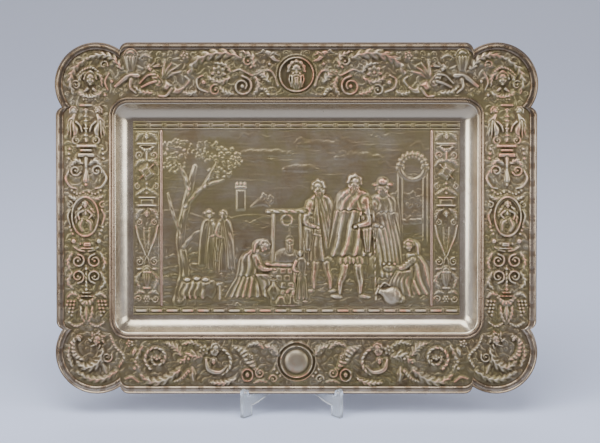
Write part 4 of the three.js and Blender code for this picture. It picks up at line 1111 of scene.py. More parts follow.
def elder(wax, u, v, tall, wide, side=1, height=3.0, cape="open", hat=False, beard=0.6, seed=0, legs=False):
    """A standing elder in a robe and a tunic. The cape is open, hanging from the shoulders, or wrapped
    round the whole body. The feet are at v. With legs, the robe ends at the knee and the elder walks."""
    at = own_units(u, v, side * wide, tall)
    low = 0.27 if legs else 0.04
    if legs:
        for knee, ankle, foot in ((-0.16, -0.25, -0.31), (0.13, 0.16, 0.26)):
            shin = knee * 0.6 + ankle * 0.55
            calf = [at(knee * 0.8, 0.36), at(knee, 0.2), at(shin, 0.12), at(ankle, 0.03)]
            roll(wax, calf, (wide * 0.12, wide * 0.1, wide * 0.085, wide * 0.045), height * 0.95, keep=0.4)
            dome(wax, *at(foot, 0.008), wide * 0.14, wide * 0.06, height * 0.85, -8 * side)
    else:
        for x, y in ((-0.18, 0.0), (0.16, 0.012)):
            dome(wax, *at(x, y), wide * 0.15, wide * 0.065, height * 0.7)
    middle = (0.52 + low) / 2
    left, right = [(-0.22, 0.52), (-0.3, middle), (-0.34, low)], [(0.2, 0.52), (0.28, middle), (0.34, low)]
    draped(wax, at, left, right, height * 0.86, 6, height * 0.2, 0.6, seed + 1, 0.8)
    left = [(-0.12, 0.86), (-0.27, 0.78), (-0.25, 0.6), (-0.23, 0.5)]
    right = [(0.12, 0.86), (0.27, 0.78), (0.24, 0.6), (0.21, 0.5)]
    draped(wax, at, left, right, height * 0.95, 4, height * 0.14, 0.8, seed + 2, 0.4)
    belt = [at(-0.23, 0.52), at(0.0, 0.5), at(0.22, 0.52)]
    roll(wax, belt, wide * 0.035, height * 1.0, keep=0.9, cut=0.9)
    if cape == "open":
        left = [(0.02, 0.87), (-0.3, 0.81), (-0.44, 0.5), (-0.5, low + 0.05)]
        right = [(0.1, 0.87), (0.04, 0.7), (-0.06, 0.4), (-0.1, low + 0.04)]
        draped(wax, at, left, right, height * 1.12, 5, height * 0.32, 1.2, seed + 3, 0.9, slant=1.2)
        left = [(0.12, 0.86), (0.16, 0.7), (0.26, 0.45), (0.28, 0.22)]
        right = [(0.16, 0.86), (0.34, 0.78), (0.46, 0.5), (0.46, 0.2)]
        draped(wax, at, left, right, height * 1.02, 2, height * 0.24, 0.7, seed + 4, 0.8)
    if cape == "wrapped":
        left = [(-0.08, 0.875), (-0.34, 0.81), (-0.46, 0.5), (-0.52, low + 0.06)]
        right = [(0.12, 0.875), (0.34, 0.8), (0.42, 0.5), (0.46, low + 0.09)]
        draped(wax, at, left, right, height * 1.16, 7, height * 0.34, 1.5, seed + 3, 0.9, slant=2.6)
        left, right = [(-0.1, 0.88), (-0.3, 0.83), (-0.34, 0.72)], [(0.14, 0.88), (0.34, 0.83), (0.36, 0.7)]
        draped(wax, at, left, right, height * 1.3, 4, height * 0.2, 0.9, seed + 6, 0.7, slant=1.4)
    left, right = [(0.16, 0.6), (0.18, 0.5), (0.24, 0.4)], [(0.42, 0.66), (0.42, 0.52), (0.38, 0.36)]
    draped(wax, at, left, right, height * 1.12, 3, height * 0.24, 0.4, seed + 5, 0.6)
    arm(wax, at(0.25, 0.78), at(0.36, 0.62), at(0.06, 0.57), wide * 0.085, height * 1.24)
    size = tall * HEAD_SHARE
    head(wax, *at(0.04, 0.912), size, tilt=-side * 8, beard=beard, height=height * 1.3, facing=side * 0.6)
    if hat:
        brim = [at(-0.2, 0.958), at(0.04, 0.966), at(0.26, 0.952)]
        roll(wax, brim, (size * 0.3, size * 0.4, size * 0.25), height * 1.3)
        dome(wax, *at(0.03, 0.985), size * 1.0, size * 0.75, height * 1.34, keep=0.3)


print("an elder 130 mm tall has a head", round(2 * 130 * HEAD_SHARE, 1), "mm wide")

# %% [markdown]
# Lower figures are drawn in shares of their own height too, and their heads are larger shares.

# %% Kneeling and seated figures
LOW_HEAD_SHARE = 0.085


def kneeling(wax, u, v, tall, facing, height=2.8, seed=40):
    """A figure on one knee, bent forward: skirt, back, arms held out and a bowed head."""
    at = own_units(u, v, facing * tall, tall)
    left, right = [(-0.24, 0.42), (-0.36, 0.2), (-0.46, 0.02)], [(0.12, 0.42), (0.26, 0.26), (0.34, 0.02)]
    draped(wax, at, left, right, height * 0.95, 6, height * 0.34, 0.9, seed, 0.8, slant=1.2)
    left, right = [(-0.02, 0.8), (-0.2, 0.66), (-0.26, 0.38)], [(0.14, 0.76), (0.12, 0.56), (0.1, 0.36)]
    draped(wax, at, left, right, height * 1.08, 5, height * 0.24, 0.9, seed + 1, 0.8)
    left, right = [(0.04, 0.4), (0.12, 0.2), (0.16, 0.03)], [(0.3, 0.38), (0.4, 0.3), (0.38, 0.03)]
    draped(wax, at, left, right, height * 1.04, 4, height * 0.26, 0.9, seed + 2, 0.8, slant=-0.8)
    arm(wax, at(0.06, 0.68), at(0.16, 0.5), at(0.38, 0.48), tall * 0.05, height * 1.16)
    hair, halves = [at(0.2, 0.95), at(0.08, 0.9), at(0.04, 0.76)], (tall * 0.04, tall * 0.06, tall * 0.03)
    roll(wax, hair, halves, height * 1.1, flutes=2)
    size, lean = tall * LOW_HEAD_SHARE, -facing * 25
    head(wax, *at(0.2, 0.84), size, tilt=lean, height=height * 1.25, facing=facing * 0.7)


def seated(wax, u, v, tall, facing, height=2.6, seed=60):
    """A figure sitting on the ground with its knees up and a basket in its arms."""
    at = own_units(u, v, facing * tall, tall)
    left, right = [(-0.16, 0.74), (-0.32, 0.5), (-0.38, 0.04)], [(0.08, 0.74), (0.08, 0.45), (0.0, 0.04)]
    draped(wax, at, left, right, height, 5, height * 0.3, 0.9, seed, 0.7, slant=1.0)
    left, right = [(-0.06, 0.36), (-0.02, 0.2), (-0.04, 0.02)], [(0.26, 0.46), (0.38, 0.26), (0.4, 0.03)]
    draped(wax, at, left, right, height * 1.06, 5, height * 0.3, 0.7, seed + 1, 0.7)
    arm(wax, at(-0.04, 0.64), at(0.14, 0.5), at(0.3, 0.55), tall * 0.05, height * 1.16)
    dome(wax, *at(0.36, 0.5), tall * 0.13, tall * 0.08, height * 1.1)
    beads(wax, [at(0.27, 0.57), at(0.45, 0.57)], tall * 0.035, tall * 0.06, height * 1.25)
    hair, halves = [at(0.02, 0.97), at(-0.1, 0.9), at(-0.13, 0.74)], (tall * 0.04, tall * 0.06, tall * 0.03)
    roll(wax, hair, halves, height * 1.1, flutes=2)
    size, lean = tall * LOW_HEAD_SHARE, -facing * 12
    head(wax, *at(0.02, 0.86), size, tilt=lean, height=height * 1.28, facing=facing * 0.6)


print("a kneeling figure 64 mm tall has a head", round(2 * 64 * LOW_HEAD_SHARE, 1), "mm wide")

# %% [markdown]
# A jar is one short roll whose half width follows its outline, a dog is a few thick rolls, and a cloud
# is a row of flat domes.

# %% Jar, dog and clouds
def jar(wax, u, v, size, lying=0.0, height=3.0):
    """A jar with a neck, a lip and one handle, turned by an angle from upright."""
    at = own_units(u, v, size, size, lying)
    widths = [size * x for x in (0.45, 0.74, 0.88, 0.86, 0.7, 0.42, 0.3, 0.34)]
    heights = (height * 0.8, height, height, height * 0.85)
    roll(wax, [at(0, -0.95), at(0, -0.3), at(0, 0.4), at(0, 1.0)], widths, heights, flat=2.2)
    roll(wax, [at(-0.34, 1.05), at(0.34, 1.05)], size * 0.13, height * 0.95)
    roll(wax, [at(0.3, 0.95), at(0.75, 0.75), at(0.72, 0.3)], size * 0.1, height * 0.8)


def dog(wax, u, v, size, facing=1):
    """A standing dog: body, neck and head, four legs and a raised tail."""
    at = own_units(u, v, facing * size, size)
    roll(wax, [at(-0.9, 0.2), at(-0.2, 0.3), at(0.6, 0.25)], (size * 0.2, size * 0.28, size * 0.3), 2.6)
    roll(wax, [at(0.6, 0.3), at(0.85, 0.6), at(1.15, 0.6)], (size * 0.24, size * 0.2, size * 0.1), 2.8)
    for x in (-0.8, -0.5, 0.45, 0.7):
        roll(wax, [at(x, 0.1), at(x + 0.06, -0.55)], (size * 0.13, size * 0.07), 2.2)
    roll(wax, [at(-0.95, 0.3), at(-1.25, 0.6), at(-1.1, 0.85)], size * 0.07, 1.8)


def cloud(wax, u, v, long, seed):
    """A heap of low puffs on one level, the largest in the middle."""
    chance = np.random.default_rng(seed)
    for share in np.linspace(-1, 1, 9):
        size = (1 - 0.6 * share * share) * chance.uniform(4.5, 7.0)
        rise = chance.uniform(0.45, 0.75)
        dome(wax, u + share * long, v + size * 0.35, size * 1.3, size * 0.8, rise, flat=3, keep=1, cut=0.7)


jar(trial, 0, 0, 5, height=5.0)
tell("with a jar over them, the trial forms", trial)

# %% [markdown]
# The trunk is a fluted roll with a slow twist, and its leaf is many small domes inside a few oval
# masses. The well is a stone kerb under two posts and a beam, from which a bucket hangs.

# %% Tree and draw-well
LEAF_MASSES = ((-2, 158, 22, 10), (26, 156, 20, 11), (50, 148, 15, 11), (40, 134, 14, 7), (-8, 142, 12, 8))


def tree(wax):
    """A gnarled trunk with boughs, and leaf in small overlapping tufts."""
    trunk = [(-2, 0), (3, 30), (-1, 66), (6, 104), (14, 140)]
    roll(wax, trunk, (8.5, 6.0, 5.2, 4.4, 2.6), (2.6, 2.6, 2.4, 2.2, 1.8), twist=23, flutes=3)
    for bough in (
        [(0, 70), (-9, 92), (-14, 112)],
        [(4, 98), (22, 118), (44, 126)],
        [(8, 116), (2, 134), (-8, 148)],
        [(2, 56), (14, 70), (26, 74)],
        [(24, 119), (32, 134), (38, 146)],
    ):
        roll(wax, bough, (2.6, 1.8, 0.9), (2.0, 1.7, 1.2), keep=0.7, twist=11)
    chance = np.random.default_rng(21)
    for cu, cv, ru, rv in LEAF_MASSES:
        for _ in range(int(ru * rv * 0.26)):
            away, turn = sqrt(chance.random()), chance.uniform(0, 2 * pi)
            lu, lv = cu + ru * away * cos(turn), cv + rv * away * sin(turn)
            size = chance.uniform(1.5, 2.3)
            rise, lean = chance.uniform(0.8, 1.4), chance.uniform(-70, 60)
            dome(wax, lu, lv, size, size * 0.55, rise, lean, keep=0.6, moat=0.35)


def draw_well(wax):
    """A round stone kerb with its courses, two posts, a beam, a wheel, a rope and a bucket."""
    roll(wax, [(0, 0), (0, 33)], (19, 19), 2.4, flat=5)
    for row in range(4):
        for k in range(5):
            du = (k - 2 + (0.5 if row % 2 else 0)) * 8.2
            if abs(du) < 17.5:
                round_off = (du / 19) ** 2
                wide, rise = 7.4 * (1 - 0.35 * round_off), 2.7 - 0.5 * round_off
                plate(wax, du, 4.5 + row * 7.6, wide, 6.8, rise, keep=0.6, cut=0.8, moat=0.2)
    roll(wax, [(-21, 34.5), (0, 33), (21, 34.5)], 2.6, 3.0)
    roll(wax, [(-15, 36), (-14, 88)], 2.0, 2.2, flutes=2)
    roll(wax, [(15, 36), (14, 88)], 2.0, 2.2, flutes=2)
    roll(wax, [(-20, 89), (20, 89)], 2.4, 2.6, twist=9)
    hoop(wax, 0, 80, 5.4, 5.4, 1.8, 2.4)
    roll(wax, [(3, 76), (3, 58)], 0.8, 1.8, twist=1.8)
    roll(wax, [(3, 57), (3, 48)], (4.4, 3.6), 2.8, flutes=3, flat=3)
    hoop(wax, 3, 59, 3.6, 4.2, 1.0, 1.8)


print("the tree has", len(LEAF_MASSES), "masses of leaf")

# %% [markdown]
# Behind the figures lies very low relief: a streaked sky, far hills and rough ground. It is grain,
# smoothed more along the horizon than across it.

# %% The picture's field, sky and ground
SCENE_STEP = 0.36
scene_u, scene_v = frame_u - PILASTER - BAR, frame_v - STRIP
scene = wax_field(-scene_u, scene_u, -scene_v, scene_v, SCENE_STEP)
floor_v = -scene_v + 6
sky_u, sky_v = np.meshgrid(scene["u"], scene["v"])

horizon = 6 + 5 * np.sin(sky_u / 31 + 0.7) + 2.4 * np.sin(sky_u / 11)
sky = np.clip((sky_v - horizon) / 3, 0, 1)
streaks = 0.10 * grain(scene, 6, 0.6, 11) + 0.16 * grain(scene, 16, 7, 12)
scene["w"] += sky * (streaks + 0.05 * grain(scene, 0.8, 0.7, 13))
hill = np.clip((horizon - sky_v) / 1.2, 0, 1)
scene["w"] += hill * (0.45 + 0.14 * grain(scene, 5, 0.9, 14) + 0.2 * grain(scene, 12, 5, 15))
near_ground = np.clip((-40 + 4 * np.sin(sky_u / 17) - sky_v) / 4, 0, 1)
scene["w"] += near_ground * (0.3 + 0.5 * grain(scene, 2.6, 1.0, 16))
tell("sky and ground rise", scene)

# %% [markdown]
# Then come a far tower, clouds, hills, a hedge, a low wall, a garden arch, bushes and the tree. The
# graver's strokes are long and faint in the sky, short and deep in the grass.

# %% Country, arch and strokes
ARCH_U, ARCH_V = 121, 53
CLOUDS = ((-34, 66, 26, 91), (22, 76, 20, 92), (66, 62, 24, 93), (4, 50, 17, 94))
BUSHES = ((22, 13), (30, 15), (76, 16), (84, 14), (118, 12), (127, 13), (-34, 18), (-27, 16))

plate(scene, -58, 19, 10, 24, 1.2)
plate(scene, -58, 32, 12, 3, 1.3)
for k in range(3):
    plate(scene, -62 + 4 * k, 35.5, 2.2, 3.4, 1.3)
for cloud_u, cloud_v, long, seed in CLOUDS:
    cloud(scene, cloud_u, cloud_v, long, seed)
roll(scene, [(-47, 12), (-36, 17), (-28, 12)], (1, 5, 1), 0.9)
roll(scene, [(96, 14), (112, 22), (130, 15)], (2, 6, 2), 0.9)
for k in range(7):
    flower(scene, 100 + 5.4 * k, 23 + 2.6 * sin(2.1 * k), 3.4, 5, 1.1, 30 * k)
roll(scene, [(14, -4), (44, -2), (78, -5), (136, -3)], 3.4, 1.3, flat=4, twist=9)
for du in (-1, 1):
    plate(scene, ARCH_U + du * 13, 10, 5.4, 84, 1.3)
    plate(scene, ARCH_U + du * 13, 52, 8.4, 3, 1.6)
hoop(scene, ARCH_U, ARCH_V, 13, 13, 4.6, 1.4)
for k in range(9):
    turn = radians(20 * k + 10)
    stone = [(ARCH_U + r * cos(turn), ARCH_V + r * sin(turn)) for r in (11, 15.4)]
    roll(scene, stone, 1.6, 1.7, keep=0.9, cut=0.8)
under_arch = (np.abs(sky_u - ARCH_U) < 9) & (sky_v < 50) & (sky_v > -30)
strokes(scene, under_arch, 26, (5, 12), 0.7, 0.7, 1.4, 36)
strokes(scene, sky_v > 16, 90, (14, 42), 0.6, 0.3, 1.3, 31)
strokes(scene, (sky_v > 50) & (sky_u > -60), 24, (10, 24), 2.4, 0.4, 3.4, 32, (-25, 25))
strokes(scene, (sky_v < 4) & (sky_v > -44), 150, (8, 24), 0.8, 1.05, 2.0, 33)
strokes(scene, sky_v < -36, 300, (5, 14), 1.0, 1.7, 1.8, 34)
strokes(scene, sky_v < -30, 420, (3, 7), 0.55, 1.9, 0.6, 35, (50, 130))
for bush_u, bush_v in BUSHES:
    for k in range(5):
        puff_u, puff_v = bush_u + 2.2 * sin(2.4 * k), bush_v + 1.6 * k
        dome(scene, puff_u, puff_v, 2.4, 1.8, 0.95, 30 * k, keep=0.8, cut=0.9)
tree(moved(scene, -120, floor_v))
tell("country pressed", scene)

# %% [markdown]
# The people are pressed from the far ones to the near ones, which overlap them and stand out further.

# %% The people at the well
elder(scene, -92, floor_v + 30, 64, 22, 1, 1.9, hat=True, beard=0, seed=3)
elder(scene, -75, floor_v + 27, 68, 23, -1, 2.0, beard=0.4, seed=9)
elder(scene, 91, floor_v + 12, 114, 40, -1, 2.5, "wrapped", hat=True, beard=0.5, seed=15)
elder(scene, 25, floor_v + 9, 118, 42, -1, 2.8, beard=0.7, seed=22, legs=True)
draw_well(moved(scene, -10, floor_v + 4))
kneeling(scene, -47, floor_v + 2, 64, 1, 2.9)
elder(scene, 58, floor_v + 3, 130, 52, 1, 3.5, "wrapped", beard=0.9, seed=31, legs=True)
roll(scene, [(83, floor_v + 1), (81, floor_v + 60), (77, floor_v + 100)], 1.1, 3.3, twist=7)
seated(scene, 119, floor_v + 3, 62, -1, 2.8)
elder(scene, 5, floor_v - 1, 54, 22, -1, 3.0, cape="", beard=0, seed=44)
dog(scene, -17, floor_v + 5, 12, 1)
jar(scene, -24, floor_v + 12, 9, 0, 3.0)
jar(scene, 97, floor_v + 6, 13, 68, 4.0)
plate(scene, -100, floor_v + 17, 52, 4, 2.6)
for du in (-121, -80):
    roll(scene, [(du, floor_v + 15), (du, floor_v + 2)], 2.0, 2.2)
cloth(scene, [(-121, floor_v + 21), (-124, floor_v + 10), (-124, floor_v + 3)],
      [(-84, floor_v + 21), (-83, floor_v + 10), (-86, floor_v + 3)], 3.0, 5, 0.7, 1.4, 77, 1.6, slant=0.9)
for k, du in enumerate((-114, -104, -95)):
    dome(scene, du, floor_v + 22 + (k % 2), 5.0, 3.2, 3.2)
tell("people pressed", scene)

# %% [markdown]
# What stands high is cloth or skin and gets a fine upright grain. Then the map is smoothed and its
# wear and dirt are measured. The belly of the large jar is rubbed bright.

# %% The picture's wax, finished
raised = np.clip((scene["w"] - 1.3) / 0.8, 0, 1)
scene["w"] += raised * (0.3 * grain(scene, 0.55, 3.4, 51) + 0.16 * grain(scene, 0.7, 0.7, 52))
scene["w"] = blurred(scene["w"], 0.34, SCENE_STEP)
with_wear(scene)
jar_u, jar_v = sky_u - 97, sky_v - floor_v - 6
jar_belly = np.exp(-((np.hypot(jar_u / 13, jar_v / 11)) ** 6)) * raised
scene["worn"] = np.maximum(scene["worn"], 0.8 * jar_belly)
tell("picture relief", scene)

# %% [markdown]
# The picture is laid as two slabs that meet in the middle, to keep each mesh light.

# %% The picture's slab, in two halves
SCENE_CELL = 0.64
SLAB = 0.5
panel_ground = -WELL_DEPTH


def flat_grid(u_from, u_to, v_from, v_to, cell):
    """A level grid of points with cells of about a given size."""
    u = np.linspace(u_from, u_to, count_for(u_to - u_from, cell))
    v = np.linspace(v_from, v_to, count_for(v_to - v_from, cell))
    return np.meshgrid(u, v)


for name, lo, hi in (("picture_left", -scene_u, 0.0), ("picture_right", 0.0, scene_u)):
    u, v = flat_grid(lo, hi, -scene_v, scene_v, SCENE_CELL)
    relief_pieces.append(relief_slab(name, u, v, scene, panel_ground + SLAB, SLAB))

# %% [markdown]
# On each side of the picture stands a pilaster with a mask, a bowl, a tilted shield, a pedestal, a
# lyre, scrolls and an urn on one axis. It has its own field of finer wax.

# %% A pilaster's ornament
def pilaster(wax, tilt):
    """One pilaster about u = 0. Tilt is 1 or -1, the way that the shield leans."""
    plate(wax, 0, 89.5, 24, 1.6, 1.2)
    head(wax, 0, 84.8, 3.0, height=2.4)
    plate(wax, 0, 77.6, 23, 2.0, 1.8)
    roll(wax, [(-7, 74.5), (0, 70.5), (7, 74.5)], (1.2, 3.0, 1.2), 2.2, twist=3)
    plate(wax, 0, 75.6, 15, 1.4, 2.0)
    roll(wax, [(0, 69), (0, 60)], (1.6, 1.0), 1.9)
    plate(wax, 0, 48, 13, 15, 2.4, turn=35 * tilt)
    plate(wax, 0, 48, 9, 11, 2.8, turn=35 * tilt, keep=0.8, cut=0.8)
    roll(wax, [(-7, 41), (7, 56)] if tilt > 0 else [(7, 41), (-7, 56)], 0.9, 3.0, keep=0.9)
    beads(wax, [(0, 36), (0, 26)], 1.6, 3.4, 1.8)
    plate(wax, 0, 21.5, 20, 2.0, 2.2)
    plate(wax, 0, 17, 15, 6, 1.8)
    plate(wax, 0, 13.2, 22, 2.0, 2.2)
    head(wax, 0, 3.5, 2.8, height=2.4)
    roll(wax, [(-3.5, -53), (-2.2, -45), (0, -40)], 0.8, 1.6)
    roll(wax, [(3.5, -53), (2.2, -45), (0, -40)], 0.8, 1.6)
    plate(wax, 0, -53, 23, 2.0, 2.0)
    roll(wax, [(0, -55), (0, -63), (0, -71)], (6.2, 5.2, 2.0), (2.2, 2.6, 2.0), flutes=5, flat=3)
    plate(wax, 0, -56.5, 13, 1.6, 2.6)
    plate(wax, 0, -73, 9, 2.0, 2.0)
    flower(wax, 0, -84.5, 4.2, 6, 2.2)
    for side in (-1, 1):
        leaf(wax, [(side * 3, 88), (side * 8, 86), (side * 11, 81)], 2.0, 1.6, 4)
        volute(wax, side * 7.5, 65.5, 4.0, side, 240, 1.1, 0.9, 1.6)
        leaf(wax, [(side * 2, 60), (side * 8, 59), (side * 12, 54)], 1.9, 1.6, 4)
        volute(wax, side * 9.4, 33, 3.2, -side, 90, 1.1, 0.8, 1.5)
        leaf(wax, [(side * 2, 30), (side * 7, 27), (side * 11, 24)], 1.7, 1.5, 3)
        leaf(wax, [(side * 4, 9), (side * 9, 6), (side * 11, -1)], 2.2, 1.7, 4)
        volute(wax, side * 8, -4.5, 3.2, side, 90, 1.1, 0.8, 1.6)
        lyre = [(side * 11.5, -8), (side * 9, -20), (side * 4, -32), (side * 1.4, -39)]
        roll(wax, lyre, (0.9, 1.2, 1.0, 0.8), 1.7)
        roll(wax, [(side * 3, -10), (side * 2.4, -24), (side * 1, -36)], 0.6, 1.2)
        volute(wax, side * 7.6, -45.5, 4.2, side, 80, 1.2, 0.9, 1.7)
        leaf(wax, [(side * 6, -57), (side * 11, -64), (side * 8, -73)], 2.0, 1.6, 4)
        volute(wax, side * 9, -84.5, 3.6, side, 180, 1.1, 0.9, 1.6)
        leaf(wax, [(side * 3, -78), (side * 8, -77), (side * 12, -80)], 1.6, 1.4, 3)
        roll(wax, [(side * 13.2, 90), (side * 13.2, -90)], 0.5, 0.8, keep=1)


print("a pilaster is", PILASTER, "mm wide and", 2 * scene_v, "mm tall")

# %% [markdown]
# Above and below the picture runs a strip of long reeds and short bars, over and over. The upper strip
# is coloured darker and the lower one brighter.

# %% The strips above and below
REED_PITCH = 16.2
FINE_STEP = 0.3


def strip_wax(rub, grime):
    """Reeds 10 mm long and a group of three upright bars, over and over between two fine lines. The
    wear is multiplied by rub, and grime is added to the dirt."""
    wax = wax_field(-frame_u, frame_u, -STRIP / 2, STRIP / 2, FINE_STEP)
    for k in range(-11, 12):
        u = k * REED_PITCH
        roll(wax, [(u - 4.4, 0), (u + 4.4, 0)], 1.9, 2.2, flat=3.2)
        for j in (-1, 0, 1):
            bar_u = u + REED_PITCH / 2 + j * 1.7
            roll(wax, [(bar_u, -1.9), (bar_u, 1.9)], 0.75, 1.5, moat=0.2)
    for side in (-1, 1):
        roll(wax, [(-frame_u, side * 3.6), (frame_u, side * 3.6)], 0.7, 1.3, keep=1)
    wax["w"] = blurred(wax["w"], 0.2, wax["step"])
    with_wear(wax)
    wax["worn"] = np.clip(wax["worn"] * rub, 0, 1)
    wax["dirt"] = np.clip(wax["dirt"] + grime, 0, 1)
    return wax


print("a strip has", int(2 * frame_u / REED_PITCH), "whole lengths of reed and bars")

# %% [markdown]
# Each field is pressed, filled and smoothed, shifted to its place and laid there as a slab.

# %% Pilasters and strips, laid on the panel
PILASTER_CELL, STRIP_CELL = 0.55, 0.6
for name, tilt, centre in (("pilaster_left", 1, -1), ("pilaster_right", -1, 1)):
    wax = wax_field(-PILASTER / 2, PILASTER / 2, -scene_v, scene_v, FINE_STEP)
    pilaster(wax, tilt)
    pu, pv = np.meshgrid(np.abs(wax["u"]), wax["v"])
    inside = (pu < PILASTER / 2 - 2.6) & (np.abs(pv) < scene_v - 3)
    fill_bare(wax, inside, (1.7, 2.8), 0.7, 17 + tilt, 120)
    wax["w"] += 0.10 * grain(wax, 0.5, 0.5, 19) * np.clip(1 - wax["w"], 0, 1)
    wax["w"] = blurred(wax["w"], 0.2, wax["step"])
    with_wear(wax)
    u, v = flat_grid(-PILASTER / 2, PILASTER / 2, -scene_v, scene_v, PILASTER_CELL)
    axis = centre * (frame_u - PILASTER / 2)
    wax["u"] = wax["u"] + axis
    relief_pieces.append(relief_slab(name, u + axis, v, wax, panel_ground + SLAB, SLAB))
for name, side, rub, grime in (("strip_top", 1, 0.45, 0.16), ("strip_bottom", -1, 1.25, -0.35)):
    wax = strip_wax(rub, grime)
    middle_v = side * (frame_v - STRIP / 2)
    wax["v"] = wax["v"] + middle_v
    u, v = flat_grid(-frame_u, frame_u, middle_v - STRIP / 2, middle_v + STRIP / 2, STRIP_CELL)
    relief_pieces.append(relief_slab(name, u, v, wax, panel_ground + SLAB, SLAB))

# %% [markdown]
# A half-round bar stands between pilaster and picture. It sticks out furthest, so its silver has gone
# and it shows bare copper. It is a section drawn up the panel.

# %% Upright bars beside the picture
def upright_bar(name, centre):
    """A half-round bar: a semicircular section carried up the panel, closed at its ends."""
    turn = np.linspace(0, pi, 9)
    section_u = np.append(centre + BAR / 2 * np.cos(turn), centre)
    section_w = np.append(panel_ground + SLAB + BAR / 2 * np.sin(turn) ** 0.8, panel_ground)
    v = np.linspace(-scene_v, scene_v, 60)
    grid = onto_stand(section_u[None], v[:, None], section_w[None])
    rows, columns = grid.shape[:2]
    ends = [list(range(columns)), list(range((rows - 1) * columns, rows * columns))[::-1]]
    faces = quads(rows, columns, loop_columns=True)[:, ::-1].tolist()
    smooth = np.append(np.ones(len(faces), bool), [False, False])
    return object_from(name, grid, faces + ends, smooth)


bar_axis = frame_u - PILASTER - BAR / 2
bars = [upright_bar("copper_bar_left", -bar_axis), upright_bar("copper_bar_right", bar_axis)]
print("bars at", round(bar_axis, 1), "mm")

# %% [markdown]
# The plain parts are sections carried round the tray's loops. The sheet runs from the panel up the
# cove, under the rim and back behind, and holds everything together.

# %% The plain sheet
def ring_of(name, loops, heights, smooth=True, closed=True):
    """Loops of equal count, stacked: each row is a loop at its own height."""
    grid = np.stack([onto_stand(loop[:, 0], loop[:, 1], w) for loop, w in zip(loops, heights)])
    rows, columns = grid.shape[:2]
    faces = quads(rows, columns, loop_rows=closed, loop_columns=True)[:, ::-1].tolist()
    if not closed:
        faces += [list(range(columns)), list(range((rows - 1) * columns, rows * columns))[::-1]]
    made = object_from(name, grid, faces, smooth)
    print(name, len(faces) * 2, "triangles")
    return made


def cove_loop(share, grow, counts):
    """A loop part of the way up the cove: its height follows a quarter of a circle."""
    out = COVE * share + grow
    corner = COVE_FOOT_CORNER + (WELL_CORNER - COVE_FOOT_CORNER) * share + grow
    lift = WELL_DEPTH * (1 - cos(share * pi / 2))
    return whole_loop(rounded_quarter(panel_u + out, panel_v + out, corner, counts)), panel_ground + lift


SHEET_COUNTS = (10, 3, 26, 3, 16)


def plain_sheet():
    """Front loops from the panel to the edge, then back loops a sheet's thickness behind."""
    shares = np.linspace(0, 1, 15)
    front = [cove_loop(share, 0, SHEET_COUNTS) for share in shares]
    sunk = -0.16
    front += [(whole_loop(well_quarter(0.6, SHEET_COUNTS)), sunk)]
    front += [(whole_loop(scallop_quarter(BAND * 0.5, SHEET_COUNTS)), sunk)]
    back = [(whole_loop(scallop_quarter(BAND * 0.5, SHEET_COUNTS)), -SHEET)]
    back += [(loop, w - SHEET) for loop, w in (cove_loop(s, SHEET, SHEET_COUNTS) for s in shares[::-1])]
    loops, heights = zip(*(front + back))
    return ring_of("plain_sheet", loops, heights, closed=False)


sheet_piece = plain_sheet()

# %% [markdown]
# Round the well runs a moulding of two beads side by side, the outer one a little higher. A bevelled
# curve could make it, but a section carried round the loops meets the sheet exactly.

# %% The double moulding
def moulding():
    """Two beads: the height is the larger of two half circles, over a flat foot."""
    counts = (70, 5, 30, 5, 120)
    across = np.linspace(0, 1, 17)
    bead = np.abs(np.sin(across * 2 * pi)) ** 0.6
    heights = list(MOULDING_RISE * bead * np.where(across < 0.5, 0.8, 1.0)) + [-0.3, -0.3]
    grows = list(-0.2 + across * (MOULDING + 0.2)) + [MOULDING, -0.2]
    return ring_of("double_moulding", [whole_loop(well_quarter(g, counts)) for g in grows], heights)


moulding_piece = moulding()

# %% [markdown]
# The edge is a round reed inside a thin rolled lip. Every 18 mm a double tie crosses the reed, so its
# section changes along the outline. It has its own maps of wear and dirt.

# %% The tied edge
TIE_PITCH = 18.0


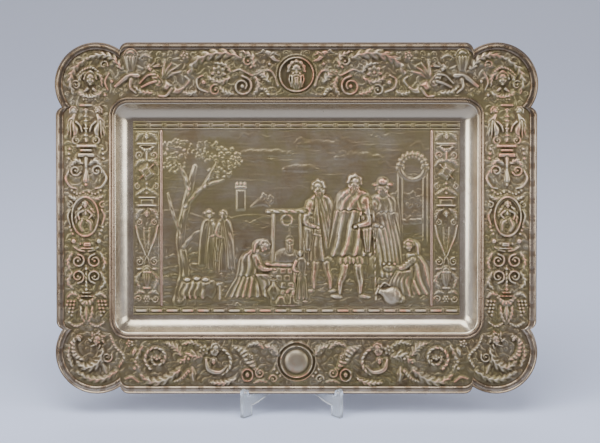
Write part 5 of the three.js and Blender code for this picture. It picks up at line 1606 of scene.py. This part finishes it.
def edge_band():
    """A section carried round the outline: a reed with ties, a groove, a lip rolled under, a flat back."""
    counts = (115, 12, 118, 12, 185)
    loop = whole_loop(scallop_quarter(0, counts))
    run = np.concatenate([[0], np.cumsum(np.hypot(*np.diff(loop, axis=0).T))])
    ties = round((run[-1] + 1) / TIE_PITCH)
    phase = np.abs((run / (run[-1] / ties) + 0.5) % 1 - 0.5) * TIE_PITCH
    tied = np.exp(-((phase / 0.55) ** 4)) + np.exp(-(((phase - 1.8) / 0.5) ** 2)) * 0.8
    waist = np.clip((phase - 2.4) / 1.4, 0, 1) ** 0.5
    insets = [8.0, 7.2, 6.6, 5.8, 5.0, 4.2, 3.4, 2.8, 2.3, 1.9]
    insets += [1.3, 0.7, 0.2, 0.0, 0.1, 0.5, 1.2, 2.2, 3.6, 8.0]
    reed = [0.3, 0.6, 0.8, 0.95, 1.0, 0.96, 0.85, 0.62, 0.32] + [0] * 11
    lip = [0] * 7 + [0.3, 0.35, 1.1, 1.75, 1.8, 1.2, 0.3, -0.7, -1.6, -2.4, -2.8, -2.9, -1.6]
    rows = []
    for inset, r, w in zip(insets, reed, lip):
        ring = whole_loop(scallop_quarter(inset, counts))
        lift = r * EDGE_RISE * (0.6 + 0.2 * waist + 0.2 * tied)
        rows.append(onto_stand(ring[:, 0], ring[:, 1], w + lift))
    grid = np.stack(rows)
    faces = quads(len(rows), grid.shape[1], loop_rows=True, loop_columns=True)[:, ::-1]
    made = object_from("tied_reed_edge", grid, faces.tolist(), True)
    inset, r, w = (np.array(values)[:, None] for values in (insets, reed, lip))
    worn = r * (0.5 + 0.15 * tied) + (w > 1.5) * 0.2
    grooves = (inset > 6.8) | ((inset > 2.0) & (inset < 3.0))
    dirt = grooves * 0.6 + (r > 0) * (1 - waist) * 0.4 + (inset < 1.6) * 0.6
    for key, values in (("worn", worn), ("dirt", dirt)):
        attribute = made.data.attributes.new(key, "FLOAT", "POINT")
        attribute.data.foreach_set("value", np.clip(values, 0, 1).astype(np.float32).ravel())
    print("tied_reed_edge", len(faces) * 2, "triangles,", ties, "ties")
    return made


edge_piece = edge_band()

# %% [markdown]
# A finish is a small net of nodes round one shader, and the same few nodes come back in every one.
# Constant values sit on the shader's own sockets, and only the patterns are wired.

# %% Nodes for the finishes
def new_finish(name):
    """A new material, its net of nodes and its shader."""
    material = bpy.data.materials.new(name)
    material.use_nodes = True
    net = material.node_tree
    return material, net, net.nodes["Principled BSDF"]


def noise(net, scale, detail=4.0, roughness=0.6, distortion=0.0):
    """Soft noise in the object's own space."""
    where = net.nodes.new("ShaderNodeTexCoord")
    texture = net.nodes.new("ShaderNodeTexNoise")
    texture.inputs["Scale"].default_value = scale
    texture.inputs["Detail"].default_value = detail
    texture.inputs["Roughness"].default_value = roughness
    texture.inputs["Distortion"].default_value = distortion
    net.links.new(where.outputs["Object"], texture.inputs["Vector"])
    return texture.outputs["Fac"]


def ramp(net, source, stops):
    """Colours or greys along a value: a list of places and what is there."""
    node = net.nodes.new("ShaderNodeValToRGB")
    elements = node.color_ramp.elements
    while len(elements) < len(stops):
        elements.new(0.5)
    for element, (place, colour) in zip(elements, stops):
        element.position = place
        element.color = (*colour, 1) if isinstance(colour, tuple) else (colour, colour, colour, 1)
    net.links.new(source, node.inputs["Fac"])
    return node.outputs["Color"]


def blend(net, share, first, second, kind="MIX"):
    """Two colours mixed by a share. Each of the three is a value or a socket."""
    node = net.nodes.new("ShaderNodeMix")
    node.data_type = "RGBA"
    node.blend_type = kind
    factor, a, b = node.inputs[0], node.inputs[6], node.inputs[7]
    for socket, value in ((factor, share), (a, first), (b, second)):
        if isinstance(value, bpy.types.NodeSocket):
            net.links.new(value, socket)
        else:
            socket.default_value = (*value, 1) if isinstance(value, tuple) else value
    return node.outputs[2]


def sums(net, operation, first, second):
    """One step of arithmetic, kept between 0 and 1."""
    node = net.nodes.new("ShaderNodeMath")
    node.operation = operation
    node.use_clamp = True
    for socket, value in zip(node.inputs, (first, second)):
        if isinstance(value, bpy.types.NodeSocket):
            net.links.new(value, socket)
        else:
            socket.default_value = value
    return node.outputs[0]


def attribute(net, name):
    """One of the maps that a piece carries on its points."""
    node = net.nodes.new("ShaderNodeAttribute")
    node.attribute_name = name
    return node.outputs["Fac"]


def bump(net, shader, source, strength, distance):
    """A fine unevenness of the surface, from a pattern."""
    node = net.nodes.new("ShaderNodeBump")
    node.inputs["Strength"].default_value = strength
    node.inputs["Distance"].default_value = distance
    net.links.new(source, node.inputs["Height"])
    net.links.new(node.outputs["Normal"], shader.inputs["Normal"])


def axis_place(net, axis, reach=1.0):
    """How far a point lies along X, Y or Z, as a share of a reach in metres."""
    where = net.nodes.new("ShaderNodeTexCoord")
    split = net.nodes.new("ShaderNodeSeparateXYZ")
    net.links.new(where.outputs["Object"], split.inputs[0])
    scaled = net.nodes.new("ShaderNodeMapRange")
    scaled.inputs["From Max"].default_value = reach
    net.links.new(split.outputs[axis], scaled.inputs["Value"])
    return scaled.outputs["Result"]


print("materials so far:", len(bpy.data.materials))

# %% [markdown]
# The relief's colour and roughness follow the two maps: bare, pinkish brass where it is worn, dull
# silver between, brown and greenish dirt in the hollows. It could be painted, but maps measured from
# the relief put wear and dirt where a cloth does.
# Over all of it lies painted light and shade by height up the stand: darker low and high on the tray,
# brightest in its upper middle.

# %% Relief metal
TARNISHED = (0.270, 0.198, 0.110)
DULL_SILVER = (0.350, 0.294, 0.205)
OLIVE = (0.280, 0.228, 0.110)
BROWN = (0.150, 0.092, 0.048)
DIRT = (0.150, 0.106, 0.058)
GREEN = (0.200, 0.160, 0.072)
BARE = (0.88, 0.44, 0.27)
BRIGHT = (0.80, 0.655, 0.46)
# Painted light and shade: tones by height up the stand, multiplied over the relief's colour.
PAINTED_LIGHT_BY_HEIGHT = [(0.0, 0.64), (0.20, 0.67), (0.30, 0.74), (0.50, 0.83)]
PAINTED_LIGHT_BY_HEIGHT += [(0.68, 0.97), (0.79, 0.96), (0.86, 0.69), (1.0, 0.63)]
STAND_HEIGHT = 0.38


def relief_metal():
    """Base metal in clouds and stains, dirt laid over it, rubbed metal over both, times painted shading by
    height.
    """
    material, net, shader = new_finish("worn_silver_relief")
    worn, dirt = attribute(net, "worn"), attribute(net, "dirt")
    clouds = ramp(net, noise(net, 30, 5, 0.62, 0.4), [(0.36, 0.0), (0.64, 1.0)])
    patches = ramp(net, noise(net, 40, 4, 0.66), [(0.46, 0.0), (0.58, 1.0)])
    stains = ramp(net, noise(net, 17, 5, 0.6, 0.6), [(0.42, 0.0), (0.60, 1.0)])
    base = blend(net, stains, blend(net, clouds, TARNISHED, DULL_SILVER), OLIVE)
    blots = ramp(net, noise(net, 14, 6, 0.7, 0.3), [(0.60, 0.0), (0.68, 0.7)])
    base = blend(net, blots, base, BROWN)
    hollow = blend(net, patches, DIRT, GREEN)
    dirty = blend(net, ramp(net, dirt, [(0.2, 0.0), (0.8, 1.0)]), base, hollow)
    bare = blend(net, patches, BRIGHT, BARE)
    rubbed = ramp(net, worn, [(0.40, 0.0), (1.0, 1.0)])
    # Painted light and shade by height, multiplied over the colour below.
    tone_with_painted_shade = ramp(net, axis_place(net, "Z", STAND_HEIGHT), PAINTED_LIGHT_BY_HEIGHT)
    full = blend(net, rubbed, dirty, bare)
    net.links.new(blend(net, 1.0, full, tone_with_painted_shade, "MULTIPLY"), shader.inputs["Base Color"])
    fine = noise(net, 700, 3, 0.7)
    grime = sums(net, "MULTIPLY", dirt, 0.25)
    satin = sums(net, "ADD", 0.19, sums(net, "MULTIPLY", fine, 0.34))
    rough = sums(net, "ADD", grime, satin)
    net.links.new(rough, shader.inputs["Roughness"])
    shader.inputs["Metallic"].default_value = 0.9
    bump(net, shader, fine, 0.12, 0.0004)
    return material


silver_relief = relief_metal()
print("the relief's finish has", len(silver_relief.node_tree.nodes), "nodes")

# %% [markdown]
# The sheet, the moulding, the edge and the copper bars share one net: pale metal with darker tarnish
# in clouds and specks, painted shade over the tray's upper part, and a haze of fine scratches. Each has
# its own two colours.

# %% Plain metals
def plain_metal(name, pale, dark, rough, streaks, grooves=0.0, heights=None):
    """Plain metal: pale silver with darker tarnish in soft clouds, painted shade above 0.3 m, and a fine
    haze of scratches. Where a piece has a map of its dirt, that much of it darkens the grooves. Heights are
    painted light and shade up the stand."""
    material, net, shader = new_finish(name)
    clouds = ramp(net, noise(net, 9, 7, 0.66, 0.8), [(0.40, 0.0), (0.68, 1.0)])
    specks = ramp(net, noise(net, 70, 5, 0.7), [(0.60, 0.0), (0.74, 1.0)])
    # Painted shade: every plain piece is coloured dark above 0.3 m in the frame, over the tray's upper part.
    painted_shade_above = ramp(net, axis_place(net, "Z"), [(0.27, 0.0), (0.30, 1.0)])
    tarnish_and_painted_shade = sums(net, "MAXIMUM", painted_shade_above, clouds)
    tone_with_painted_shade = blend(net, tarnish_and_painted_shade, pale, dark)
    spotted = blend(net, sums(net, "MULTIPLY", specks, 0.55), tone_with_painted_shade, dark)
    if grooves:
        groove_share = sums(net, "MULTIPLY", attribute(net, "dirt"), grooves)
        spotted = blend(net, groove_share, spotted, BROWN)
    if heights:
        # Painted light and shade: a tone by height up the stand, multiplied over the colour.
        painted_shade_up = ramp(net, axis_place(net, "Z", STAND_HEIGHT), heights)
        spotted = blend(net, 1.0, spotted, painted_shade_up, "MULTIPLY")
    net.links.new(spotted, shader.inputs["Base Color"])
    haze = noise(net, streaks, 4, 0.6)
    rough_value = sums(net, "ADD", rough, sums(net, "MULTIPLY", haze, 0.18))
    net.links.new(rough_value, shader.inputs["Roughness"])
    shader.inputs["Metallic"].default_value = 1.0
    bump(net, shader, haze, 0.02, 0.0002)
    return material


# Painted shade on the moulding: its lower and upper runs are darkened by height.
MOULDING_PAINTED_SHADE = [(0.235, 0.61), (0.28, 1.0), (0.79, 1.0), (0.825, 0.71)]
silver_plain = plain_metal("worn_silver_plain", (0.72, 0.635, 0.485), (0.40, 0.33, 0.23), 0.15, 160)
rubbed_pale, rubbed_dark = (0.57, 0.42, 0.29), (0.30, 0.22, 0.14)
rubbed_metal = plain_metal("rubbed_moulding", rubbed_pale, rubbed_dark, 0.2, 300, heights=MOULDING_PAINTED_SHADE)
edge_metal = plain_metal("rolled_edge", (0.46, 0.375, 0.275), (0.225, 0.175, 0.12), 0.2, 220, 0.9)
copper = plain_metal("bare_copper", (0.66, 0.44, 0.33), (0.34, 0.22, 0.15), 0.22, 700)
print("plain metals:", [m.name for m in (silver_plain, rubbed_metal, edge_metal, copper)])

# %% [markdown]
# The paper is palest in front and a little darker far behind, which is painted shade. Then each piece gets
# its finish.

# %% Paper, and the finishes put on
def paper_with_painted_falloff():
    """Bluish grey with painted shade: a little darker and less blue from the tray to 3 m behind it."""
    material, net, shader = new_finish("grey_paper")
    far = axis_place(net, "Y", 3.0)
    # Painted shade: the paper darkens with distance behind the tray.
    painted_falloff_tone = ramp(net, far, [(0.0, (0.69, 0.765, 0.97)), (1.0, (0.66, 0.72, 0.86))])
    net.links.new(painted_falloff_tone, shader.inputs["Base Color"])
    weave = noise(net, 300, 3, 0.6)
    rough = sums(net, "ADD", 0.6, sums(net, "MULTIPLY", weave, 0.2))
    net.links.new(rough, shader.inputs["Roughness"])
    return material


paper_sheet.data.materials.append(paper_with_painted_falloff())
for piece in relief_pieces:
    piece.data.materials.append(silver_relief)
edge_piece.data.materials.append(edge_metal)
sheet_piece.data.materials.append(silver_plain)
moulding_piece.data.materials.append(rubbed_metal)
for piece in bars:
    piece.data.materials.append(copper)
print("finishes:", [m.name for m in bpy.data.materials])

# %% [markdown]
# The stand is two clear acrylic sheets, slid into each other by slots. The back rests follow from
# where the back of the well is, because the tray leans on them.

# %% Sizes of the stand
STAND_SHEET = 5.0
HOOK_SPACING = 92.0
STAND_SHIFT = -5.0
POST_DEPTH, POST_RISE, LEDGE = 8.0, 9.0, 22.0
STAND_TALL, STAND_REACH, STAND_TOP = 140.0, 150.0, 14.0
FOOT_LENGTH, FOOT_HEIGHT = 13.0, 11.0
ARCH_HEIGHT, ARCH_SLOPE = 44.0, 26.0
FIT_GAP = 0.4
post_corner = STAND_SHEET / 2 * sqrt(0.5)
plan_y = half_h * sin(LEAN) + EDGE_RISE * cos(LEAN) + post_corner + FIT_GAP
plan_z = LEDGE + FIT_GAP + half_h * cos(LEAN) + (SHEET + ROLL_DROP) * sin(LEAN)


def back_rest(z):
    """How far behind the posts the back rest is at a height, measured along the panel."""
    well_back = plan_y + (z - plan_z) * tan(LEAN) + (WELL_DEPTH + SHEET) / cos(LEAN)
    return (well_back + FIT_GAP) * sqrt(2) + STAND_SHEET / 2


print("the back rest begins", round(back_rest(LEDGE), 1), "mm behind the post")

# %% [markdown]
# A panel's edge is one closed line: up the post, over the hook, along the ledge, up the back rest,
# down to the rear foot and back under an arch. The slots are cut from above and from below.

# %% A panel's outline
def bend(start, control, end, count=14):
    """A curve with one control point: the weights are those of a quadratic."""
    t = np.linspace(0, 1, count)[:, None]
    start, control, end = np.array(start), np.array(control), np.array(end)
    return (1 - t) ** 2 * start + 2 * t * (1 - t) * control + t**2 * end


def panel_outline(slot_from_top):
    """The panel's edge as points: post, hook, back rest, rear foot, arch, front foot, and its slot."""
    tip, knee = LEDGE + POST_RISE - POST_DEPTH / 2, back_rest(LEDGE)
    front, rear = FOOT_LENGTH - POST_DEPTH, STAND_REACH - FOOT_LENGTH
    crossing, clear = HOOK_SPACING * sqrt(0.5), STAND_SHEET / 2 + FIT_GAP
    slope = (back_rest(STAND_TALL) - knee) / (STAND_TALL - LEDGE)
    seam = (ARCH_HEIGHT + LEDGE + (crossing - knee) / slope) / 2
    cut_top, cut_low = [], []
    if slot_from_top:
        seam -= FIT_GAP / 2
        sides = (crossing - clear, crossing + clear)
        cut_top = [(sides[0], LEDGE + (sides[0] - knee) / slope), (sides[0], seam)]
        cut_top += [(sides[1], seam), (sides[1], LEDGE + (sides[1] - knee) / slope)]
    else:
        seam += FIT_GAP / 2
        cut_low = [(crossing + clear, ARCH_HEIGHT), (crossing + clear, seam)]
        cut_low += [(crossing - clear, seam), (crossing - clear, ARCH_HEIGHT)]
    post = stretch_arc((-POST_DEPTH / 2, tip), POST_DEPTH / 2, pi, 0, 16)
    arch_front = (knee + ARCH_SLOPE, ARCH_HEIGHT)
    runs = [
        [(-POST_DEPTH, 0)], post, [(0, LEDGE), (knee, LEDGE)], cut_top,
        [(back_rest(STAND_TALL), STAND_TALL), (back_rest(STAND_TALL) + STAND_TOP, STAND_TALL)],
        [(STAND_REACH, FOOT_HEIGHT), (STAND_REACH, 0), (rear, 0)],
        bend((rear, FOOT_HEIGHT), (rear - ARCH_SLOPE * 0.3, ARCH_HEIGHT), (rear - ARCH_SLOPE, ARCH_HEIGHT)),
        cut_low,
        bend(arch_front, (knee + ARCH_SLOPE * 0.3, FOOT_HEIGHT + 2), (front, FOOT_HEIGHT)),
        [(front, 0)],
    ]
    return np.array([point for run in runs for point in run], float)


print("a panel's outline reaches", panel_outline(True).max(axis=0), "mm")

# %% [markdown]
# Each outline is drawn out to the sheet's thickness on the diagonal behind its post. Its polished
# edges catch the light, so a small bevel runs all round. A faint haze keeps it from looking like air.

# %% The two clear panels
def clear_panel(name, node, side, slot_from_top):
    """The outline drawn out to the sheet's thickness, on the diagonal behind its post."""
    outline_points = panel_outline(slot_from_top)
    turn = radians(135 if side > 0 else 45)
    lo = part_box(node)[0]
    depth_shift = lo[1] / MM + POST_DEPTH * sqrt(0.5) + post_corner
    post_x = STAND_SHIFT + side * HOOK_SPACING / 2
    layers = []
    for t in (-STAND_SHEET / 2, STAND_SHEET / 2):
        x = outline_points[:, 0] * cos(turn) + t * sin(turn) + post_x
        y = outline_points[:, 0] * sin(turn) - t * cos(turn) + depth_shift
        layers.append(np.stack([x, y, outline_points[:, 1]], axis=-1) * MM)
    n = len(outline_points)
    i = np.arange(n)
    walls = np.stack([i, (i + 1) % n, (i + 1) % n + n, i + n], axis=-1)
    faces = walls[:, ::-1].tolist() + [i.tolist(), (i + n)[::-1].tolist()]
    made = object_from(name, np.concatenate(layers), faces, False)
    bevel = made.modifiers.new("polished_edge", "BEVEL")
    bevel.width = 0.4 * MM
    bevel.segments = 2
    bevel.limit_method = "ANGLE"
    bevel.angle_limit = radians(40)
    print(name, "of", n, "outline points")
    return made


def clear_acrylic():
    """Clear plastic that lets most light through."""
    material, net, shader = new_finish("clear_acrylic")
    shader.inputs["Base Color"].default_value = (0.88, 0.91, 0.92, 1)
    shader.inputs["IOR"].default_value = 1.49
    shader.inputs["Transmission Weight"].default_value = 0.76
    haze = noise(net, 90, 4, 0.6)
    net.links.new(sums(net, "MULTIPLY", haze, 0.12), shader.inputs["Roughness"])
    bump(net, shader, noise(net, 1400, 2, 0.5), 0.03, 0.0003)
    return material


acrylic = clear_acrylic()
panels = {
    "stand_panel_left": clear_panel("clear_panel_left", "stand_panel_left", -1, True),
    "stand_panel_right": clear_panel("clear_panel_right", "stand_panel_right", 1, False),
}
for node, piece in panels.items():
    piece.data.materials.append(acrylic)

# %% [markdown]
# Last, every piece is tied to the frame: it rides on the one body, and the imported part that it stands
# for is hidden.

# %% Tie the pieces to the frame
for piece in relief_pieces + bars + [sheet_piece, moulding_piece, edge_piece]:
    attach(piece, "root")
    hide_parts("relief_tray")
for node, piece in panels.items():
    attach(piece, "root")
    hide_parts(node)
